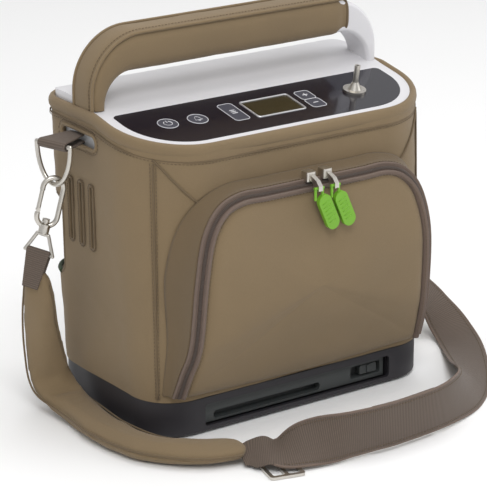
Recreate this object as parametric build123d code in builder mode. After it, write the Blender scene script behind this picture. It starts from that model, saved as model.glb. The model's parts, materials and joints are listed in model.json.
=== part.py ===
"""Portable oxygen concentrator in its soft carrying case, with shoulder strap.

Millimetres, +Z up, X to the right along the wide front, +Y to the back.
The origin is the centre of the footprint, on the floor.
"""
from build123d import *
from math import cos, radians, sin, tan
import os

os.makedirs("parts", exist_ok=True)

# ---------------------------------------------------------------- driving dimensions
CASE_WIDTH = 300.0          # soft case at its rim, outside
CASE_DEPTH = 170.0
CASE_FOOT_WIDTH = 292.0     # soft case where it meets the base
CASE_FOOT_DEPTH = 169.0
CASE_RIM_RADIUS = 62.0      # front corners at the rim
CASE_REAR_RADIUS = 28.0     # rear corners at the rim
CASE_FOOT_RADIUS = 38.0
FABRIC = 4.0                # neoprene thickness
CASE_LOW = 33.0
RIM_FRONT = 248.0           # rim height at the front
RIM_BACK = 263.4            # rim height at the sides and the back
PANEL_TILT = 10.3           # degrees, control deck rises to the back

GAP = 0.5                   # assembly gap round the device inside the case
FIT = 0.1                   # gap between parts that sit together
WALL = 3.0                  # moulded wall of the device

BASE_WIDTH = 287.0
BASE_DEPTH = 168.0
BASE_RADIUS = 37.0
BASE_TOP = 32.5
FOOT_HEIGHT = 2.0

HANDLE_HALF = 145.0         # outer face of the handle legs
HANDLE_TOP = 324.0
HANDLE_UNDER = 295.0
HANDLE_LEG = 9.0
HANDLE_FRONT = 4.0
HANDLE_BACK = 35.0
HANDLE_SOFTENING = 3.5      # rounding of the handle's long edges
SLEEVE = 3.0                # padding round the handle

POCKET_FACE = 112.0         # pocket stands this far in front of the case centre
ZIP_PLANE = 102.0
SHOULDER = 42.0             # the pocket's outline rounds over this far at its top corners
STRAP_WIDTH = 38.0
STRAP_THICK = 1.8

tilt_rise = tan(radians(PANEL_TILT))
deck_normal = (0, -sin(radians(PANEL_TILT)), cos(radians(PANEL_TILT)))


# ---------------------------------------------------------------- shared shapes
def rim_height(y):
    """Height of the soft rim: it climbs with the control deck, then runs level."""
    return min(RIM_FRONT + (y + CASE_DEPTH / 2) * tilt_rise, RIM_BACK)


def case_prism(inset, low, high):
    """The case's rounded body, moved in by inset, between two heights."""
    def level(z):
        t = (z - CASE_LOW) / (RIM_BACK - CASE_LOW)
        width = CASE_FOOT_WIDTH + t * (CASE_WIDTH - CASE_FOOT_WIDTH) - 2 * inset
        depth = CASE_FOOT_DEPTH + t * (CASE_DEPTH - CASE_FOOT_DEPTH) - 2 * inset
        front = CASE_FOOT_RADIUS + t * (CASE_RIM_RADIUS - CASE_FOOT_RADIUS) - inset
        rear = CASE_FOOT_RADIUS + t * (CASE_REAR_RADIUS - CASE_FOOT_RADIUS) - inset
        return width, depth, front, rear

    with BuildPart() as prism:
        for z in (low, high):
            width, depth, front, rear = level(z)
            with BuildSketch(Plane.XY.offset(z)) as section:
                Rectangle(width, depth)
                fillet(section.vertices().group_by(Axis.Y)[0], radius=front)
                fillet(section.vertices().group_by(Axis.Y)[-1], radius=rear)
        loft()
    return prism.part


def side_cut(points, half):
    """A block with the given Y, Z outline, reaching half to each side in X."""
    with BuildPart() as block:
        with BuildSketch(Plane.YZ):
            with BuildLine():
                Polyline(*points, close=True)
            make_face()
        extrude(amount=half, both=True)
    return block.part


def under_rim(drop):
    """Everything up to the rim line, less drop."""
    y_edge = CASE_DEPTH / 2 + 10
    y_level = (RIM_BACK - RIM_FRONT) / tilt_rise - CASE_DEPTH / 2
    front = RIM_FRONT - (y_edge - CASE_DEPTH / 2) * tilt_rise
    outline = [
        (-y_edge, 0),
        (-y_edge, front - drop),
        (y_level, RIM_BACK - drop),
        (y_edge, RIM_BACK - drop),
        (y_edge, 0),
    ]
    return side_cut(outline, CASE_WIDTH)


def arch(half_low, half_mid, top, z_low):
    """Pocket outline in X, Z: straight foot, leaning sides, rounded shoulders."""
    z_mid = z_low + 0.62 * (top - z_low)
    with BuildLine(Plane.XZ) as outline:
        foot = Line((-half_low, z_low), (half_low, z_low))
        right = Spline(
            foot @ 1,
            (half_mid, z_mid),
            (half_mid - SHOULDER, top),
            tangents=[(0.02, 1), (-1, 0)],
        )
        crown = Line(right @ 1, (SHOULDER - half_mid, top))
        Spline(
            crown @ 1,
            (-half_mid, z_mid),
            foot @ 0,
            tangents=[(-1, 0), (0.02, -1)],
        )
    return outline.line


def station_plane(centre, heading, across):
    """Section plane of a ribbon: local X lies across it, local Z runs along it."""
    z_dir = Vector(*heading).normalized()
    x_dir = Vector(*across)
    x_dir = (x_dir - z_dir * x_dir.dot(z_dir)).normalized()
    return Plane(origin=centre, x_dir=x_dir, z_dir=z_dir)


def ribbon(stations, width, thickness, radius=0.0):
    """A strap lofted through stations of (centre, across direction[, width])."""
    with BuildPart() as strap:
        for i, station in enumerate(stations):
            before = Vector(*stations[max(i - 1, 0)][0])
            after = Vector(*stations[min(i + 1, len(stations) - 1)][0])
            plane = station_plane(station[0], tuple(after - before), station[1])
            local = station[2] if len(station) > 2 else width
            with BuildSketch(plane):
                if radius:
                    RectangleRounded(local, thickness, radius)
                else:
                    Rectangle(local, thickness)
        loft(ruled=True)
    return strap.part


def finish(part, name):
    """Label a finished piece and write its STEP file."""
    part.label = name
    export_step(part, f"parts/{name}.step")


# ---------------------------------------------------------------- soft case
EYELET = (21.0, 240.0)                     # centre in Y, Z
EYELET_SIZE = (54.0, 13.0)
VENT_Y = (3.5, 20.0, 36.5)
VENT_Z = 175.0
VENT_SIZE = (3.0, 52.0)
CUT_OUT = (72.0, 147.0, 42.0, 70.0)        # air intake window: Y, Z, width, height
EXHAUST = (25.0, 100.0, 90.0, 90.0)        # rear window: X, Z, width, height
DC_PORT = (-75.0, 70.0)                    # DC inlet on the back: X, Z

case_outer = case_prism(0, CASE_LOW, RIM_BACK + 6)
case_inner = case_prism(FABRIC, CASE_LOW - 1, RIM_BACK + 7)
below_rim = under_rim(0)

with BuildPart() as case_shell:
    add(case_outer)
    add(case_inner, mode=Mode.SUBTRACT)
    add(below_rim, mode=Mode.INTERSECT)
    with BuildSketch(Plane.YZ):
        with Locations(EYELET):
            SlotOverall(*EYELET_SIZE)
        with Locations(*[(y, VENT_Z) for y in VENT_Y]):
            SlotOverall(VENT_SIZE[1], VENT_SIZE[0], rotation=90)
    extrude(amount=CASE_WIDTH, both=True, mode=Mode.SUBTRACT)
    with BuildSketch(Plane.YZ.offset(-CASE_WIDTH / 2 - 5)):
        with Locations((CUT_OUT[0], CUT_OUT[1])):
            RectangleRounded(CUT_OUT[2], CUT_OUT[3], 10)
    extrude(amount=52, mode=Mode.SUBTRACT)
    with BuildSketch(Plane.XZ.offset(-CASE_DEPTH / 2 - 5)):
        with Locations((EXHAUST[0], EXHAUST[1])):
            RectangleRounded(EXHAUST[2], EXHAUST[3], 12)
        with Locations(DC_PORT):
            Circle(12)
    extrude(amount=20, mode=Mode.SUBTRACT)
finish(case_shell.part, "case_shell")

# ---------------------------------------------------------------- front pocket and zip
POCKET_LOW = 40.0
POCKET_BACK = 66.0
ZIP_HALF_LOW = 123.0
ZIP_HALF_MID = 116.0
ZIP_TOP = 205.0
ZIP_BAND = 7.0              # thickness of the zip's rolled band
ZIP_WAIST = 107.5           # the zip stands furthest forward at half height
ZIP_SINK = 86.0             # and comes back to the case at its foot
case_clear = case_prism(-GAP, CASE_LOW - 1, RIM_BACK + 7)


def pocket_section(depth, grow, low_grow):
    """Pocket outline at one depth, larger than the line of the zip by grow."""
    outline = arch(
        ZIP_HALF_LOW + low_grow,
        ZIP_HALF_MID + grow,
        ZIP_TOP + grow,
        POCKET_LOW - low_grow,
    )
    return outline.moved(Location((0, -depth, 0)))


zip_side = [
    (ZIP_HALF_LOW, -ZIP_SINK, POCKET_LOW + 4),
    (ZIP_HALF_LOW - 5, -ZIP_SINK - 19, 88),
    (ZIP_HALF_MID - 1, -ZIP_WAIST, 142),
    (ZIP_HALF_MID - 11, -ZIP_PLANE - 3, 180),
    (ZIP_HALF_MID - SHOULDER, -ZIP_PLANE, ZIP_TOP),
]
zip_far_side = [(-x, y, z) for x, y, z in zip_side[::-1]]


def zip_cord(radius):
    """The zip's band, swept round the pocket's edge."""
    with BuildPart() as cord:
        with BuildLine():
            rise = Spline(*zip_side, tangents=[(-0.1, -0.45, 1), (-1, 0, 0)])
            Line(zip_side[-1], zip_far_side[0])
            Spline(*zip_far_side, tangents=[(-1, 0, 0), (-0.1, 0.45, -1)])
        with BuildSketch(Plane(origin=rise @ 0, z_dir=rise % 0)):
            Circle(radius)
        sweep()
    return cord.part


with BuildPart() as zip_tape:
    add(zip_cord(ZIP_BAND / 2))
finish(zip_tape.part, "zip_tape")

zip_channel = zip_cord(ZIP_BAND / 2 + FIT)
pocket_profile = side_cut(
    [
        (0, 30),
        (-ZIP_SINK - 2, 30),
        (-ZIP_SINK - 4, POCKET_LOW),
        (-ZIP_SINK - 22, 88),
        (-POCKET_FACE - 0.5, 125),
        (-POCKET_FACE - 0.5, 230),
        (0, 230),
    ],
    CASE_WIDTH,
)

with BuildPart() as front_pocket:
    for depth, grow, low_grow in ((POCKET_BACK, 12, 3), (ZIP_PLANE, 0, 0), (POCKET_FACE, -26, -8)):
        with BuildSketch(Plane.XZ.offset(depth)):
            make_face(pocket_section(depth, grow, low_grow).edges())
    loft(ruled=True)
    add(pocket_profile, mode=Mode.INTERSECT)
    add(case_clear, mode=Mode.SUBTRACT)
    add(zip_channel, mode=Mode.SUBTRACT)
finish(front_pocket.part, "front_pocket")

SLIDER = (9.0, 10.0, 8.0)
SLIDER_Z = ZIP_TOP + ZIP_BAND / 2 + 0.8 + SLIDER[2] / 2
SLIDER_Y = -(ZIP_PLANE + 2.0)
SLIDER_X = {"left": -6.0, "right": 10.5}
PULL_PIVOT = (-116.5, ZIP_TOP + 1.0)        # Y, Z of the pull's hinge
PULL_LEAN = 24.0                           # pulls hang leaning to the right
PULL = (12.5, 33.0, 4.0)
PULL_WIRE = 1.2
LUG = 4.0                                  # nose of the slider that carries the pull's wire
PULL_LEG = LUG / 2 + PULL_WIRE + 0.3       # wire legs clear the nose

for side, x in SLIDER_X.items():
    with BuildPart() as slider:
        with Locations((x, SLIDER_Y + 2, SLIDER_Z)):
            Box(*SLIDER)
        fillet(edges().filter_by(Axis.Z), radius=2)
        with BuildSketch(Plane.YZ.offset(x - LUG / 2)):
            with BuildLine():
                Polyline(
                    (SLIDER_Y, SLIDER_Z + 3),
                    (PULL_PIVOT[0] + 1, PULL_PIVOT[1] + 6),
                    (PULL_PIVOT[0] - 2.6, PULL_PIVOT[1] + 2),
                    (PULL_PIVOT[0] - 2.6, PULL_PIVOT[1] - 2),
                    (PULL_PIVOT[0] + 2.6, PULL_PIVOT[1] - 2.4),
                    (SLIDER_Y - 5, SLIDER_Z - 3),
                    (SLIDER_Y, SLIDER_Z - 3),
                    close=True,
                )
            make_face()
        extrude(amount=LUG)
        with BuildSketch(Plane.YZ.offset(x)):
            with Locations(PULL_PIVOT):
                Circle(PULL_WIRE + 0.05)
        extrude(amount=LUG, both=True, mode=Mode.SUBTRACT)
    finish(slider.part, f"zip_slider_{side}")

    pull_plane = Plane(
        origin=(x, PULL_PIVOT[0], PULL_PIVOT[1]),
        x_dir=(cos(radians(PULL_LEAN)), 0, sin(radians(PULL_LEAN))),
        z_dir=(0, -1, 0),
    )
    with BuildPart() as pull:
        with BuildSketch(Plane.YZ.offset(x)):
            with Locations(PULL_PIVOT):
                Circle(PULL_WIRE)
        extrude(amount=PULL_LEG + PULL_WIRE, both=True)
        with BuildSketch(Plane.XY.offset(PULL_PIVOT[1] - 10)):
            with Locations(*[(x + hand * PULL_LEG, PULL_PIVOT[0]) for hand in (-1, 1)]):
                Circle(PULL_WIRE)
        extrude(amount=10)
        with BuildSketch(pull_plane.offset(-PULL[2] / 2)):
            with Locations((0, -7 - PULL[1] / 2)):
                SlotOverall(PULL[1], PULL[0], rotation=90)
        extrude(amount=PULL[2])
    finish(pull.part, f"zip_pull_{side}")

# ---------------------------------------------------------------- black base, feet and battery
RECESS = (0.0, 16.5, 193.0, 19.5)           # front opening: X, Z, width, height
TRAY_WALL = 3.0
BATTERY = (190.0, 144.0, 18.0)
BATTERY_LOW = 7.5
BATTERY_FRONT = -79.0
LATCH = (18.0, 2.5, 8.0)
LATCH_X = 78.0
SCREW_PLACES = [(x, y) for x in (-124, 124) for y in (-50, 50)]

with BuildPart() as base_tray:
    with BuildSketch(Plane.XY.offset(FOOT_HEIGHT)):
        RectangleRounded(BASE_WIDTH, BASE_DEPTH, BASE_RADIUS)
    extrude(amount=BASE_TOP - FOOT_HEIGHT)
    chamfer(faces().sort_by(Axis.Z)[0].edges(), length=1.5)
    with BuildSketch(Plane.XY.offset(FOOT_HEIGHT + TRAY_WALL)):
        RectangleRounded(
            BASE_WIDTH - 2 * TRAY_WALL,
            BASE_DEPTH - 2 * TRAY_WALL,
            BASE_RADIUS - TRAY_WALL,
        )
    extrude(amount=BASE_TOP, mode=Mode.SUBTRACT)
    with BuildSketch(Plane.XY.offset(FOOT_HEIGHT + TRAY_WALL)):
        with Locations((-98.5, -4), (98.5, -4)):
            Rectangle(3, 150)
    extrude(amount=20)
    with BuildSketch(Plane.XZ.offset(BASE_DEPTH / 2 - TRAY_WALL - 1)):
        with Locations((RECESS[0], RECESS[1])):
            RectangleRounded(RECESS[2], RECESS[3], 3)
    extrude(amount=10, mode=Mode.SUBTRACT)
    with Locations(*[(x, y, FOOT_HEIGHT) for x, y in SCREW_PLACES]):
        Cylinder(5.5, 12, align=(Align.CENTER, Align.CENTER, Align.MIN))
        Cylinder(2.3, 60, mode=Mode.SUBTRACT)
        Cylinder(4.4, 4, align=(Align.CENTER, Align.CENTER, Align.MIN), mode=Mode.SUBTRACT)
finish(base_tray.part, "base_tray")

with BuildPart() as rubber_feet:
    with BuildSketch():
        with GridLocations(BASE_WIDTH - 50, BASE_DEPTH - 34, 2, 2):
            Circle(8)
    extrude(amount=FOOT_HEIGHT - 0.02)
finish(rubber_feet.part, "rubber_feet")

battery_back = BATTERY_FRONT + BATTERY[1]
battery_mid = BATTERY_LOW + BATTERY[2] / 2
with BuildPart() as battery_pack:
    with Locations((0, BATTERY_FRONT + BATTERY[1] / 2, battery_mid)):
        Box(*BATTERY)
    fillet(edges().filter_by(Axis.Z), radius=2)
    with BuildSketch(Plane.XZ.offset(-BATTERY_FRONT - 8)):
        with Locations((LATCH_X - 4, battery_mid)):
            RectangleRounded(LATCH[0] + 14, LATCH[2] + 3, 2)
        with Locations((-30, BATTERY_LOW + 5.5)):
            RectangleRounded(110, 7, 3)
    extrude(amount=10, mode=Mode.SUBTRACT)
finish(battery_pack.part, "battery_pack")

with BuildPart() as battery_latch:
    with Locations((LATCH_X, BATTERY_FRONT + 4, battery_mid)):
        Box(LATCH[0], LATCH[1] + 3, LATCH[2])
    fillet(edges().filter_by(Axis.Y), radius=1)
    with Locations((LATCH_X, BATTERY_FRONT + 1.2, battery_mid)):
        Box(3, 2, LATCH[2] - 1)
finish(battery_latch.part, "battery_latch")

with BuildPart() as battery_connector:
    with Locations((0, battery_back + 5.5, battery_mid)):
        Box(60, 10, 12)
    with Locations(*[(x, battery_back + 1, battery_mid) for x in range(-20, 21, 10)]):
        Box(2, 2, 8, mode=Mode.SUBTRACT)
finish(battery_connector.part, "battery_connector")

# ---------------------------------------------------------------- hard housing and chassis
CHASSIS_LOW = BASE_TOP + GAP
CHASSIS = 3.0
HOUSING_LOW = CHASSIS_LOW + CHASSIS + FIT
device_inset = FABRIC + GAP
EXHAUST_GRILLE = 82.0
DC_BODY = 8.0
DC_BORE = 2.75              # for a 5.5 mm barrel plug
deck_drop = 12.0            # housing stops this far under the deck

with BuildPart() as chassis_plate:
    add(case_prism(device_inset, CHASSIS_LOW, CHASSIS_LOW + CHASSIS))
    with BuildSketch(Plane.XY.offset(CHASSIS_LOW)):
        with Locations(*SCREW_PLACES):
            Circle(2.3)
        with Locations((0, 62)):
            SlotOverall(60, 8)
    extrude(amount=CHASSIS, mode=Mode.SUBTRACT)
finish(chassis_plate.part, "chassis_plate")

intake_cut = Plane(
    origin=(-CASE_WIDTH / 2 + 31, CASE_DEPTH / 2 - 29, CUT_OUT[1]),
    x_dir=(-sin(radians(45)), -cos(radians(45)), 0),
    z_dir=(-cos(radians(45)), sin(radians(45)), 0),
)
GRILLE = (58.0, 71.0, 2.0)

housing_outer = case_prism(device_inset, HOUSING_LOW, RIM_BACK)

with BuildPart() as main_housing:
    add(housing_outer)
    add(under_rim(deck_drop), mode=Mode.INTERSECT)
    with Locations(intake_cut):
        Box(80, CUT_OUT[3] + 4, 60, align=(Align.CENTER, Align.CENTER, Align.MIN), mode=Mode.SUBTRACT)
    add(case_prism(device_inset + WALL, HOUSING_LOW - 1, RIM_BACK + 1), mode=Mode.SUBTRACT)
    with BuildSketch(Plane.XZ.offset(-CASE_DEPTH / 2)):
        with Locations((EXHAUST[0], EXHAUST[1])):
            Rectangle(EXHAUST_GRILLE + 2 * FIT, EXHAUST_GRILLE + 2 * FIT)
        with Locations(DC_PORT):
            Circle(DC_BODY + FIT)
    extrude(amount=CASE_DEPTH / 4, mode=Mode.SUBTRACT)
    with Locations(*[(x, y, HOUSING_LOW) for x, y in SCREW_PLACES]):
        Cylinder(5, 22, align=(Align.CENTER, Align.CENTER, Align.MIN))
        Cylinder(2.1, 60, mode=Mode.SUBTRACT)
    with Locations(*[(1.06 * x, 1.18 * y, HOUSING_LOW) for x, y in SCREW_PLACES]):
        Box(14, 12, 22, align=(Align.CENTER, Align.CENTER, Align.MIN))
    with Locations(*[(x, y, HOUSING_LOW) for x, y in SCREW_PLACES]):
        Cylinder(2.1, 60, mode=Mode.SUBTRACT)
    add(housing_outer, mode=Mode.INTERSECT)
finish(main_housing.part, "main_housing")

with BuildPart() as case_screws:
    with Locations(*[(x, y, FOOT_HEIGHT + 1) for x, y in SCREW_PLACES]):
        Cylinder(4, 2.9, align=(Align.CENTER, Align.CENTER, Align.MIN))
        Cylinder(2, 48, align=(Align.CENTER, Align.CENTER, Align.MIN))
finish(case_screws.part, "case_screws")

with BuildPart() as intake_grille:
    with BuildSketch(intake_cut.offset(-GRILLE[2] - 0.2)):
        RectangleRounded(GRILLE[0], GRILLE[1], 3)
        with GridLocations(0, 7, 1, 8):
            SlotOverall(46, 3, mode=Mode.SUBTRACT)
    extrude(amount=GRILLE[2])
finish(intake_grille.part, "intake_grille")

with BuildPart() as intake_filter:
    with BuildSketch(intake_cut.offset(-GRILLE[2] - 7)):
        RectangleRounded(GRILLE[0] - 14, GRILLE[1] - 6, 2)
    extrude(amount=6)
finish(intake_filter.part, "intake_filter")

with BuildPart() as exhaust_grille:
    with BuildSketch(Plane.XZ.offset(-CASE_DEPTH / 2 + device_inset + WALL)):
        with Locations((EXHAUST[0], EXHAUST[1])):
            Rectangle(EXHAUST_GRILLE, EXHAUST_GRILLE)
            with GridLocations(0, 8, 1, 9):
                SlotOverall(70, 4, mode=Mode.SUBTRACT)
    extrude(amount=-WALL + 0.6)
finish(exhaust_grille.part, "exhaust_grille")

with BuildPart() as dc_inlet:
    with BuildSketch(Plane.XZ.offset(-CASE_DEPTH / 2 + device_inset + WALL + 10)):
        with Locations(DC_PORT):
            Circle(DC_BODY)
    extrude(amount=-12.5)
    with BuildSketch(Plane.XZ.offset(-CASE_DEPTH / 2 + device_inset + 0.5)):
        with Locations(DC_PORT):
            Circle(DC_BORE)
    extrude(amount=11, mode=Mode.SUBTRACT)
finish(dc_inlet.part, "dc_inlet")

# ---------------------------------------------------------------- compressor
PUMP = (-55.0, 0.0, 104.0)                  # crank axis runs along X through here
CRANK_THROW = 4.0
CRANK_PIN = 7.5
BORE = 20.0
PISTON_GAP = 0.05
ROD_X = (PUMP[0] - 7, PUMP[0] + 7)
BIG_END = 16.0                              # open big end: the crank pin never reaches it
SHAFT = 4.0

with BuildPart() as compressor_body:
    with BuildSketch(Plane.YZ.offset(PUMP[0] - 26)):
        with Locations((PUMP[1], PUMP[2])):
            Circle(36)
    extrude(amount=52)
    for hand in (-1, 1):
        with BuildSketch(Plane.XZ.offset(-hand * 30)):
            with Locations((PUMP[0] - hand * 7, PUMP[2])):
                Circle(BORE + 4)
        extrude(amount=-hand * 36)
    with BuildSketch(Plane.YZ.offset(PUMP[0] - 23)):
        with Locations((PUMP[1], PUMP[2])):
            Circle(32)
    extrude(amount=46, mode=Mode.SUBTRACT)
    for hand in (-1, 1):
        with BuildSketch(Plane.XZ.offset(-hand * 10)):
            with Locations((PUMP[0] - hand * 7, PUMP[2])):
                Circle(BORE)
        extrude(amount=-hand * 60, mode=Mode.SUBTRACT)
    with BuildSketch(Plane.YZ.offset(PUMP[0] - 66)):
        with Locations((PUMP[1], PUMP[2])):
            Circle(28.5)
    extrude(amount=41)
    with BuildSketch(Plane.YZ.offset(PUMP[0] - 62)):
        with Locations((PUMP[1], PUMP[2])):
            Circle(26)
    extrude(amount=35, mode=Mode.SUBTRACT)
    with Locations(PUMP):
        Cylinder(SHAFT + 0.05, 80, rotation=(0, 90, 0), mode=Mode.SUBTRACT)
    with Locations((PUMP[0], PUMP[1], PUMP[2] - 42)):
        Box(80, 62, 5)
    with Locations((PUMP[0], PUMP[1], PUMP[2] - 37)):
        Box(44, 20, 8)
finish(compressor_body.part, "compressor_body")

with BuildPart() as compressor_crank:
    with BuildSketch(Plane.YZ.offset(PUMP[0] - 60)):
        with Locations((PUMP[1], PUMP[2])):
            Circle(SHAFT)
    extrude(amount=83)
    with BuildSketch(Plane.YZ.offset(PUMP[0] - 12)):
        with Locations((PUMP[1], PUMP[2] + CRANK_THROW)):
            Circle(CRANK_PIN)
    extrude(amount=24)
    with BuildSketch(Plane.YZ.offset(PUMP[0] - 58)):
        with Locations((PUMP[1], PUMP[2])):
            Circle(24)
    extrude(amount=26)
finish(compressor_crank.part, "compressor_crank")

for name, hand in (("piston_front", -1), ("piston_rear", 1)):
    rod_x = PUMP[0] - hand * 7
    with BuildPart() as piston:
        with BuildSketch(Plane.YZ.offset(rod_x - 3)):
            with Locations((PUMP[1], PUMP[2])):
                Circle(BIG_END + 4)
                Circle(BIG_END, mode=Mode.SUBTRACT)
            with Locations((PUMP[1] + hand * 34, PUMP[2])):
                Rectangle(30, 9)
        extrude(amount=6)
        with BuildSketch(Plane.XZ.offset(-hand * 47)):
            with Locations((rod_x, PUMP[2])):
                Circle(BORE - PISTON_GAP)
        extrude(amount=-hand * 9)
    finish(piston.part, name)

with BuildPart() as cylinder_heads:
    for hand in (-1, 1):
        with BuildSketch(Plane.XZ.offset(-hand * 66.3)):
            with Locations((PUMP[0] - hand * 7, PUMP[2])):
                RectangleRounded(50, 50, 8)
        extrude(amount=-hand * 8)
finish(cylinder_heads.part, "cylinder_heads")

with BuildPart() as vibration_mounts:
    with BuildSketch(Plane.XY.offset(HOUSING_LOW)):
        with Locations((PUMP[0], PUMP[1])):
            with GridLocations(64, 46, 2, 2):
                Circle(7)
    extrude(amount=PUMP[2] - 44.5 - HOUSING_LOW - FIT)
finish(vibration_mounts.part, "vibration_mounts")

# ---------------------------------------------------------------- sieve beds, tank, valves and tubes
SIEVE_PLACES = ((34.0, -40.0), (88.0, -40.0))
SIEVE_RADIUS = 25.0
SIEVE_LOW = 42.0
SIEVE_TOP = 188.0
TANK = (100.0, 32.0, 20.0)

with BuildPart() as sieve_beds:
    with BuildSketch(Plane.XY.offset(SIEVE_LOW)):
        with Locations(*SIEVE_PLACES):
            Circle(SIEVE_RADIUS)
    extrude(amount=SIEVE_TOP - SIEVE_LOW)
finish(sieve_beds.part, "sieve_beds")

with BuildPart() as sieve_caps:
    for low in (SIEVE_LOW - 4.2, SIEVE_TOP + FIT):
        with BuildSketch(Plane.XY.offset(low)):
            with Locations(*SIEVE_PLACES):
                RectangleRounded(52, 52, 8)
        extrude(amount=4)
finish(sieve_caps.part, "sieve_caps")

with BuildPart() as product_tank:
    with BuildSketch(Plane.XY.offset(SIEVE_LOW)):
        with Locations((TANK[0], TANK[1])):
            Circle(TANK[2])
    extrude(amount=130)
    fillet(product_tank.edges(), radius=6)
finish(product_tank.part, "product_tank")

MANIFOLD_LOW = SIEVE_TOP + 4.2
with BuildPart() as valve_manifold:
    with BuildSketch(Plane.XY.offset(MANIFOLD_LOW)):
        with Locations((61, -40)):
            RectangleRounded(104, 40, 4)
    extrude(amount=14)
finish(valve_manifold.part, "valve_manifold")

with BuildPart() as solenoid_valves:
    with BuildSketch(Plane.XY.offset(MANIFOLD_LOW + 14.1)):
        with Locations((61, -40)):
            with GridLocations(24, 18, 4, 2):
                Circle(7.5)
    extrude(amount=20)
finish(solenoid_valves.part, "solenoid_valves")

with BuildPart() as gas_tubes:
    with BuildLine():
        Spline(
            (PUMP[0] + 7, -58, PUMP[2] + 29),
            (PUMP[0] + 25, -52, PUMP[2] + 60),
            (-8, -40, MANIFOLD_LOW + 7),
            (8.5, -40, MANIFOLD_LOW + 7),
            tangents=[(0, 0, 1), (1, 0, 0)],
        )
    with BuildSketch(Plane(origin=(PUMP[0] + 7, -58, PUMP[2] + 29), z_dir=(0, 0, 1))):
        Circle(3)
    sweep()
finish(gas_tubes.part, "gas_tubes")

# ---------------------------------------------------------------- fan and electronics
FAN = 76.0
FAN_BACK = CASE_DEPTH / 2 - device_inset - WALL - 1.0
FAN_DEEP = 22.0
FAN_AXIS = (EXHAUST[0], EXHAUST[1])

with BuildPart() as fan_frame:
    with BuildSketch(Plane.XZ.offset(-FAN_BACK)):
        with Locations(FAN_AXIS):
            RectangleRounded(FAN, FAN, 5)
            Circle(FAN / 2 - 3, mode=Mode.SUBTRACT)
    extrude(amount=FAN_DEEP)
    with BuildSketch(Plane.XZ.offset(-FAN_BACK + FAN_DEEP - 2)):
        with Locations(FAN_AXIS):
            Circle(13)
            Rectangle(FAN - 4, 4)
            Rectangle(4, FAN - 4)
    extrude(amount=2)
finish(fan_frame.part, "fan_frame")

with BuildPart() as fan_rotor:
    with BuildSketch(Plane.XZ.offset(-FAN_BACK + 2)):
        with Locations(FAN_AXIS):
            Circle(13)
    extrude(amount=FAN_DEEP - 5)
    with BuildSketch(Plane.XZ.offset(-FAN_BACK + 4)):
        with Locations(FAN_AXIS):
            with PolarLocations(0, 7):
                with Locations((22, 0)):
                    Rectangle(22, 3, rotation=18)
    extrude(amount=FAN_DEEP - 9)
finish(fan_rotor.part, "fan_rotor")

with BuildPart() as main_board:
    with BuildSketch(Plane.XZ.offset(68)):
        with Locations((-55, 192)):
            Rectangle(98, 74)
    extrude(amount=1.6)
    with BuildSketch(Plane.XZ.offset(60)):
        with Locations((-90, 200), (-60, 180), (-30, 205)):
            Rectangle(18, 14)
    extrude(amount=8)
finish(main_board.part, "main_board")


# ---------------------------------------------------------------- top cover with its carrying handle
RIDGE = (62.0, 271.5)                       # highest line of the deck: Y, Z
DECK_BACK = (80.5, 265.5)
PANEL_EDGE = -7.5                           # back edge of the black panel
deck_front = CASE_DEPTH / 2 - device_inset
panel_z = RIM_FRONT + (PANEL_EDGE + CASE_DEPTH / 2) * tilt_rise + 0.4


def deck_height(y):
    """Height of the tilted control deck."""
    return panel_z + (y - PANEL_EDGE) * tilt_rise


def deck_block(drop, low):
    """Everything between low and the deck's surface, lowered by drop."""
    y_front = -deck_front - 5
    with BuildPart() as block:
        with BuildSketch(Plane.YZ):
            with BuildLine():
                front = Line((y_front, low), (y_front, deck_height(y_front) - drop))
                slope = Line(front @ 1, (PANEL_EDGE, panel_z - drop))
                crest = Spline(
                    slope @ 1,
                    (RIDGE[0], RIDGE[1] - drop),
                    (DECK_BACK[0] + 6, DECK_BACK[1] - 4 - drop),
                    tangents=[(1, tilt_rise), (1, -1.2)],
                )
                back = Line(crest @ 1, (DECK_BACK[0] + 6, low))
                Line(back @ 1, front @ 0)
            make_face()
        extrude(amount=CASE_WIDTH / 2, both=True)
    return block.part


def handle_loop(grow, front, back):
    """The handle's band: a rounded arch from side to side, thickened by grow."""
    outer_half = HANDLE_HALF + grow
    inner_half = HANDLE_HALF - HANDLE_LEG - grow
    with BuildPart() as loop:
        with BuildSketch(Plane.XZ.offset(-back)):
            with Locations((0, (HANDLE_TOP + grow) / 2)):
                RectangleRounded(2 * outer_half, HANDLE_TOP + grow, 46 + grow)
            with Locations((0, (HANDLE_UNDER - grow) / 2 - 50)):
                RectangleRounded(2 * inner_half, HANDLE_UNDER - grow + 100, 30 - grow, mode=Mode.SUBTRACT)
        extrude(amount=back - front)
        rims = edges().filter_by(Plane.XZ).group_by(Axis.Y)
        fillet(rims[0] + rims[-1], radius=HANDLE_SOFTENING)
        split(bisect_by=Plane.XY.offset(RIM_BACK - 6), keep=Keep.TOP)
    return loop.part


deck_plane = Plane(origin=(0, -40, deck_height(-40)), x_dir=(1, 0, 0), z_dir=deck_normal)
slope_length = 1 / cos(radians(PANEL_TILT))


def on_deck(x, y):
    """Local place on the deck plane of a point given by its X, Y in plan."""
    return (x, (y + 40) * slope_length)


PANEL_HALF = 136.0
PANEL_FRONT = -74.0
PANEL_RADIUS = 50.0
PANEL_THICK = 1.4
ROUND_BUTTON = 8.0
POWER_AT = on_deck(-100, -37)
ALARM_AT = on_deck(-72, -38.6)
MODE_AT = on_deck(-36.5, -38.5)
PLUS_AT = on_deck(40.5, -33)
MINUS_AT = on_deck(40.5, -48.5)
LCD_AT = on_deck(2, -40.2)
OUTLET_AT = on_deck(86, -42)
MODE_SIZE = (13.0, 30.0)
STEP_SIZE = (13.0, 14.5)
LCD_SIZE = (47.0, 29.0)
BUTTON_PROUD = 0.5
BUTTON_DEEP = 5.0
OUTLET_STEM = 2.5           # radius of the cannula spigot
OUTLET_BORE = 4.0


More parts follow.
